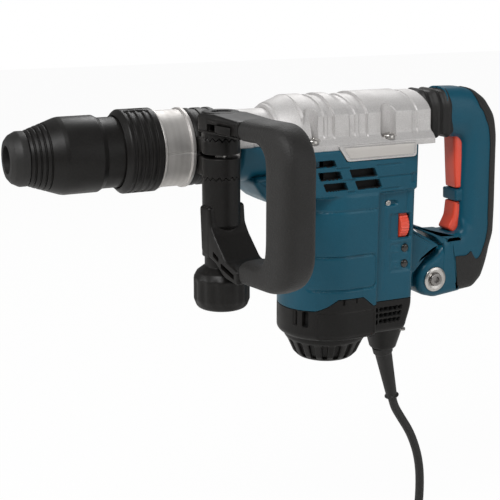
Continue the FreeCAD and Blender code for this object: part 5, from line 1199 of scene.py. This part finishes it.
@dataclass
class SideHandle:
    """Swivelling D-handle on a clamp band: arms, grained grip, hub, bolt and knob."""
    column: tuple[float, float] = (160.5, -48.0)
    swing: float = 9.4
    grip_half: float = 15.9

    def build(self) -> None:
        """Builds the band, frame, grip, bolt head and knob."""
        self.band()
        self.frame()
        self.grip()
        self.knob()

    def band(self) -> None:
        """Clamp band round the neck with a toothed column at its near side."""
        outline = rounded([(147.4, 28.7), (147.4, 31.2, 1), (150, 32, 1), (171.5, 32, 1), (173.8, 31.2, 1),
                           (173.8, 28.7)])
        skin = Skin()

        def web(along: np.ndarray, radius: np.ndarray, angle: np.ndarray) -> np.ndarray:
            """Two shallow channels round the band."""
            return radius - 0.8 * (slab(along, 153, 157, 0.6) + slab(along, 164, 168, 0.6)) * (radius > 30)

        skin.lathe(np.vstack((spaced(outline[:-1], 70, closed=False), outline[-1:])), count=150, change=web)
        x, y = self.column
        for low, high in ((-17.8, -2.0), (1.0, 12.9)):
            hub = rounded([(low, 5.4), (low, 15.4, 0.8), (high, 15.4, 0.8), (high, 5.4)])

            skin.lathe(np.vstack((spaced(hub[:-1], 60, closed=False), hub[-1:])), "Z", (x, y, 0), 216)
            skin.toothed((x, y), low if low < -5 else high)
            ear = rounded([(147.6, -46), (173.4, -46), (173.4, -29, 1), (147.6, -29, 1)])
            skin.prism(ear, low + 0.1, high - 0.1, 1.0, "XY")
        skin.piece("clamp_band_moulded", "clamp_band", BLACK, stands_for=("clamp_band",), sharp=45)

    def frame(self) -> None:
        """Upper and lower arms with windows, hub cylinders and their bosses."""
        x, y = self.column
        skin = Skin()
        top = rounded([(13.6, 5.3), (13.6, 15.4, 0.6), (33.2, 15.4, 1.2), (34.5, 14.4, 1), (34.5, 8.2, 0.4),
                       (26.6, 7.9), (26.6, 5.3)])
        skin.lathe(np.vstack((spaced(top[:-1], 60, closed=False), top[-1:])), "Z", (x, y, 0), 216)
        skin.toothed((x, y), 13.6, ahead=self.swing)
        low = rounded([(-18.3, 5.3), (-18.3, 15.4, 0.6), (-56, 15.4, 2), (-60, 12.8), (-82, 12.8, 0.6),
                       (-82, 5.3)])
        skin.lathe(np.vstack((spaced(low[:-1], 90, closed=False), low[-1:])), "Z", (x, y, 0), 216)
        skin.toothed((x, y), -18.3, ahead=self.swing)
        plan = rounded([(x - 15.4, y + 4, 10), (x - 12, y - 22, 20), (x - 17.4, y - 45, 3),
                        (x + 17.4, y - 45, 3), (x + 12, y - 22, 20), (x + 15.4, y + 4, 10)])
        skin.prism(spaced(plan, 110), 17.8, 28.6, 1.6, "XY")
        slope = rounded([(y + 9, 18.2, 2), (y + 9, 33.0, 3), (y - 13, 34.0, 6), (y - 47, 31.6, 2),
                         (y - 47, 18.2)])
        skin.prism(spaced(slope, 110), x - 16.8, x + 16.8, 2.4, "YZ")
        side = rounded([(y - 8, -40, 3), (y - 9.5, -55, 6), (y - 14.5, -63, 8), (y - 30, -80, 10),
                        (y - 47, -85, 2), (y - 47, -96, 2),
                        (y - 28, -93.4, 12), (y - 15.6, -84, 4), (y - 10, -82), (y + 4, -78, 4),
                        (y + 6, -40, 3)])
        skin.prism(spaced(side, 130), x - 17.4, x + 17.4, 2.0, "YZ")
        cheek = rounded([(x - 17.6, y - 8, 2), (x + 17.6, y - 8, 2), (x + 16.6, y + 6, 8), (x, y + 13.4, 14),
                         (x - 16.6, y + 6, 8)])
        skin.prism(spaced(cheek, 90), -82, -41, 1.4, "XY")
        skin.turned((x, y), self.swing)
        made = skin.piece("side_frame_moulded", "side_handle", BLACK, stands_for=("side_handle_frame",),
                          sharp=45)
        windows = Skin()
        for near, far, z0, z1 in ((5, 16, 20.4, 26.2), (18.5, 38, 20.4, 26.2)):
            hole = rounded([(y - far, z0, 0.6), (y - near, z0, 0.6), (y - near, z1, 0.6), (y - far, z1, 0.6)])
            windows.prism(hole, x - 17.8, x - 8.0, 0.1, "YZ")
        for near, far, z0, z1 in ((13, 21, -75.5, -80.5), (24, 42, -83, -90)):
            hole = rounded([(y - far, z1 - 2.0, 0.8), (y - near, z0 - 3.4, 0.8), (y - near, z0 + 1.0, 0.8),
                            (y - far, z1 + 2.0, 0.8)])
            windows.prism(hole, x - 18.2, x - 10.0, 0.1, "YZ")
        windows.turned((x, y), self.swing)
        cutter = windows.piece("window_cutter", "side_handle", PAINTED_SHADE)
        cut = made.modifiers.new("windows", "BOOLEAN")
        cut.object, cut.operation, cut.solver, cut.use_self = cutter, "DIFFERENCE", "EXACT", True
        bpy.context.view_layer.update()
        evaluated = bpy.data.meshes.new_from_object(made.evaluated_get(bpy.context.evaluated_depsgraph_get()))
        made.modifiers.clear()
        made.data = evaluated
        bpy.data.objects.remove(cutter)
        evaluated.set_sharp_from_angle(angle=math.radians(45))

    def grip(self) -> None:
        """The grained D: a bar between an inner and an outer line, squarish in section."""
        x, y = self.column
        outer = rounded([(y - 46.4, 33.2), (y - 108, 33.4, 30), (y - 108.4, -96, 30), (y - 46.4, -96.4)],
                        closed=False, step=5)
        inner = rounded([(y - 46.4, 16), (y - 74.2, 15.8, 15), (y - 73.8, -76, 15), (y - 46.4, -77)],
                        closed=False, step=5)
        rows = 190
        out, inn = spaced(outer, rows, closed=False), spaced(inner, rows, closed=False)
        u = np.linspace(0, 1, rows)
        round_it = np.linspace(0, 2 * math.pi, 88, endpoint=False)[None]
        grid = loop_tube(inn, out, np.full(rows, self.grip_half), 3.0, round_it)
        line = 1 - ease(np.abs(grid[..., 1]), 0.35, 0.9)
        centre = grid.mean(axis=1, keepdims=True)
        away = (grid - centre) / np.linalg.norm(grid - centre, axis=-1, keepdims=True)
        grid = grid + away * (0.25 * line * slab(u, 0.04, 0.96, 0.02)[:, None])[..., None]
        swap = np.stack((grid[..., 1] + x, grid[..., 0], grid[..., 2]), -1)
        Skin().grid(swap, wrap_v=True).turned((x, y), self.swing).piece(
            "side_grip_grained", "side_handle", RUBBER, stands_for=("side_grip_rubber",), sharp=60)

    def knob(self) -> None:
        """Fluted knob, and the bolt with its six-sided head in the hub's recess."""
        x, y = self.column
        profile = rounded([(-82.3, 5.2), (-82.3, 13.9, 0.8), (-90.6, 13.9, 1.5), (-95.5, 20.5, 3),
                           (-100.5, 23.3, 3),
                           (-118, 23.3, 4), (-125.4, 20.5, 5), (-127, 14, 4), (-127, 0)], closed=False)
        profile = np.vstack((profile[:1], spaced(profile[1:-1], 80, closed=False), profile[-1:],
                             ((-112, 0), (-112, 5.2))))

        def flutes(along: np.ndarray, radius: np.ndarray, angle: np.ndarray) -> np.ndarray:
            """Fourteen soft flutes that fade at the shoulder and the bottom."""
            return radius - 0.9 * (0.5 + 0.5 * np.cos(14 * angle)) ** 1.5 * slab(along, -116, -104,
                                                                                 7) * (radius > 15)

        Skin().lathe(profile[:-2], "Z", (x, y, 0), 224, flutes).piece(
            "clamp_knob_fluted", "clamp_knob", BLACK, stands_for=("clamp_knob",), sharp=50)
        bolt = Skin()
        hexagon = np.array([(x + 7.3 * math.cos(math.radians(60 * k + 30)),
                             y + 7.3 * math.sin(math.radians(60 * k + 30)))
                            for k in range(6)])
        bolt.prism(spaced(hexagon, 60), 26.5, 32.6, 0.7, "XY")
        shank = rounded([(-115, 0), (-115, 5.0), (26.6, 5.0), (26.6, 0)], closed=False)
        bolt.lathe(shank, "Z", (x, y, 0), 40)
        bolt.piece("handle_bolt_hex", "side_handle", BRIGHT, stands_for=("handle_bolt",), sharp=30)


# ----------------------------------------------------------------- everything

def dress_nodes() -> None:
    """Gives every CAD node the finish of its slot in the record."""
    for name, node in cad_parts.items():
        for held in node.material_slots:
            finish = SLOT_FINISH[held.material.name.split(".")[0]]
            held.link = "OBJECT"
            held.material = finish.material()
        LOG.info("%s dressed", name)


def main() -> None:
    """Builds the studio, the cord, each assembly and the finishes, in that order."""
    logging.basicConfig(level=logging.INFO, format="%(message)s")
    Studio().build()
    MainsCord().build()
    dress_nodes()
    for assembly in (Nose(), GearCover(), MotorCase(), BottomCap(), RearHandle(), SideHandle()):
        assembly.build()


if __name__ == "__main__":
    main()
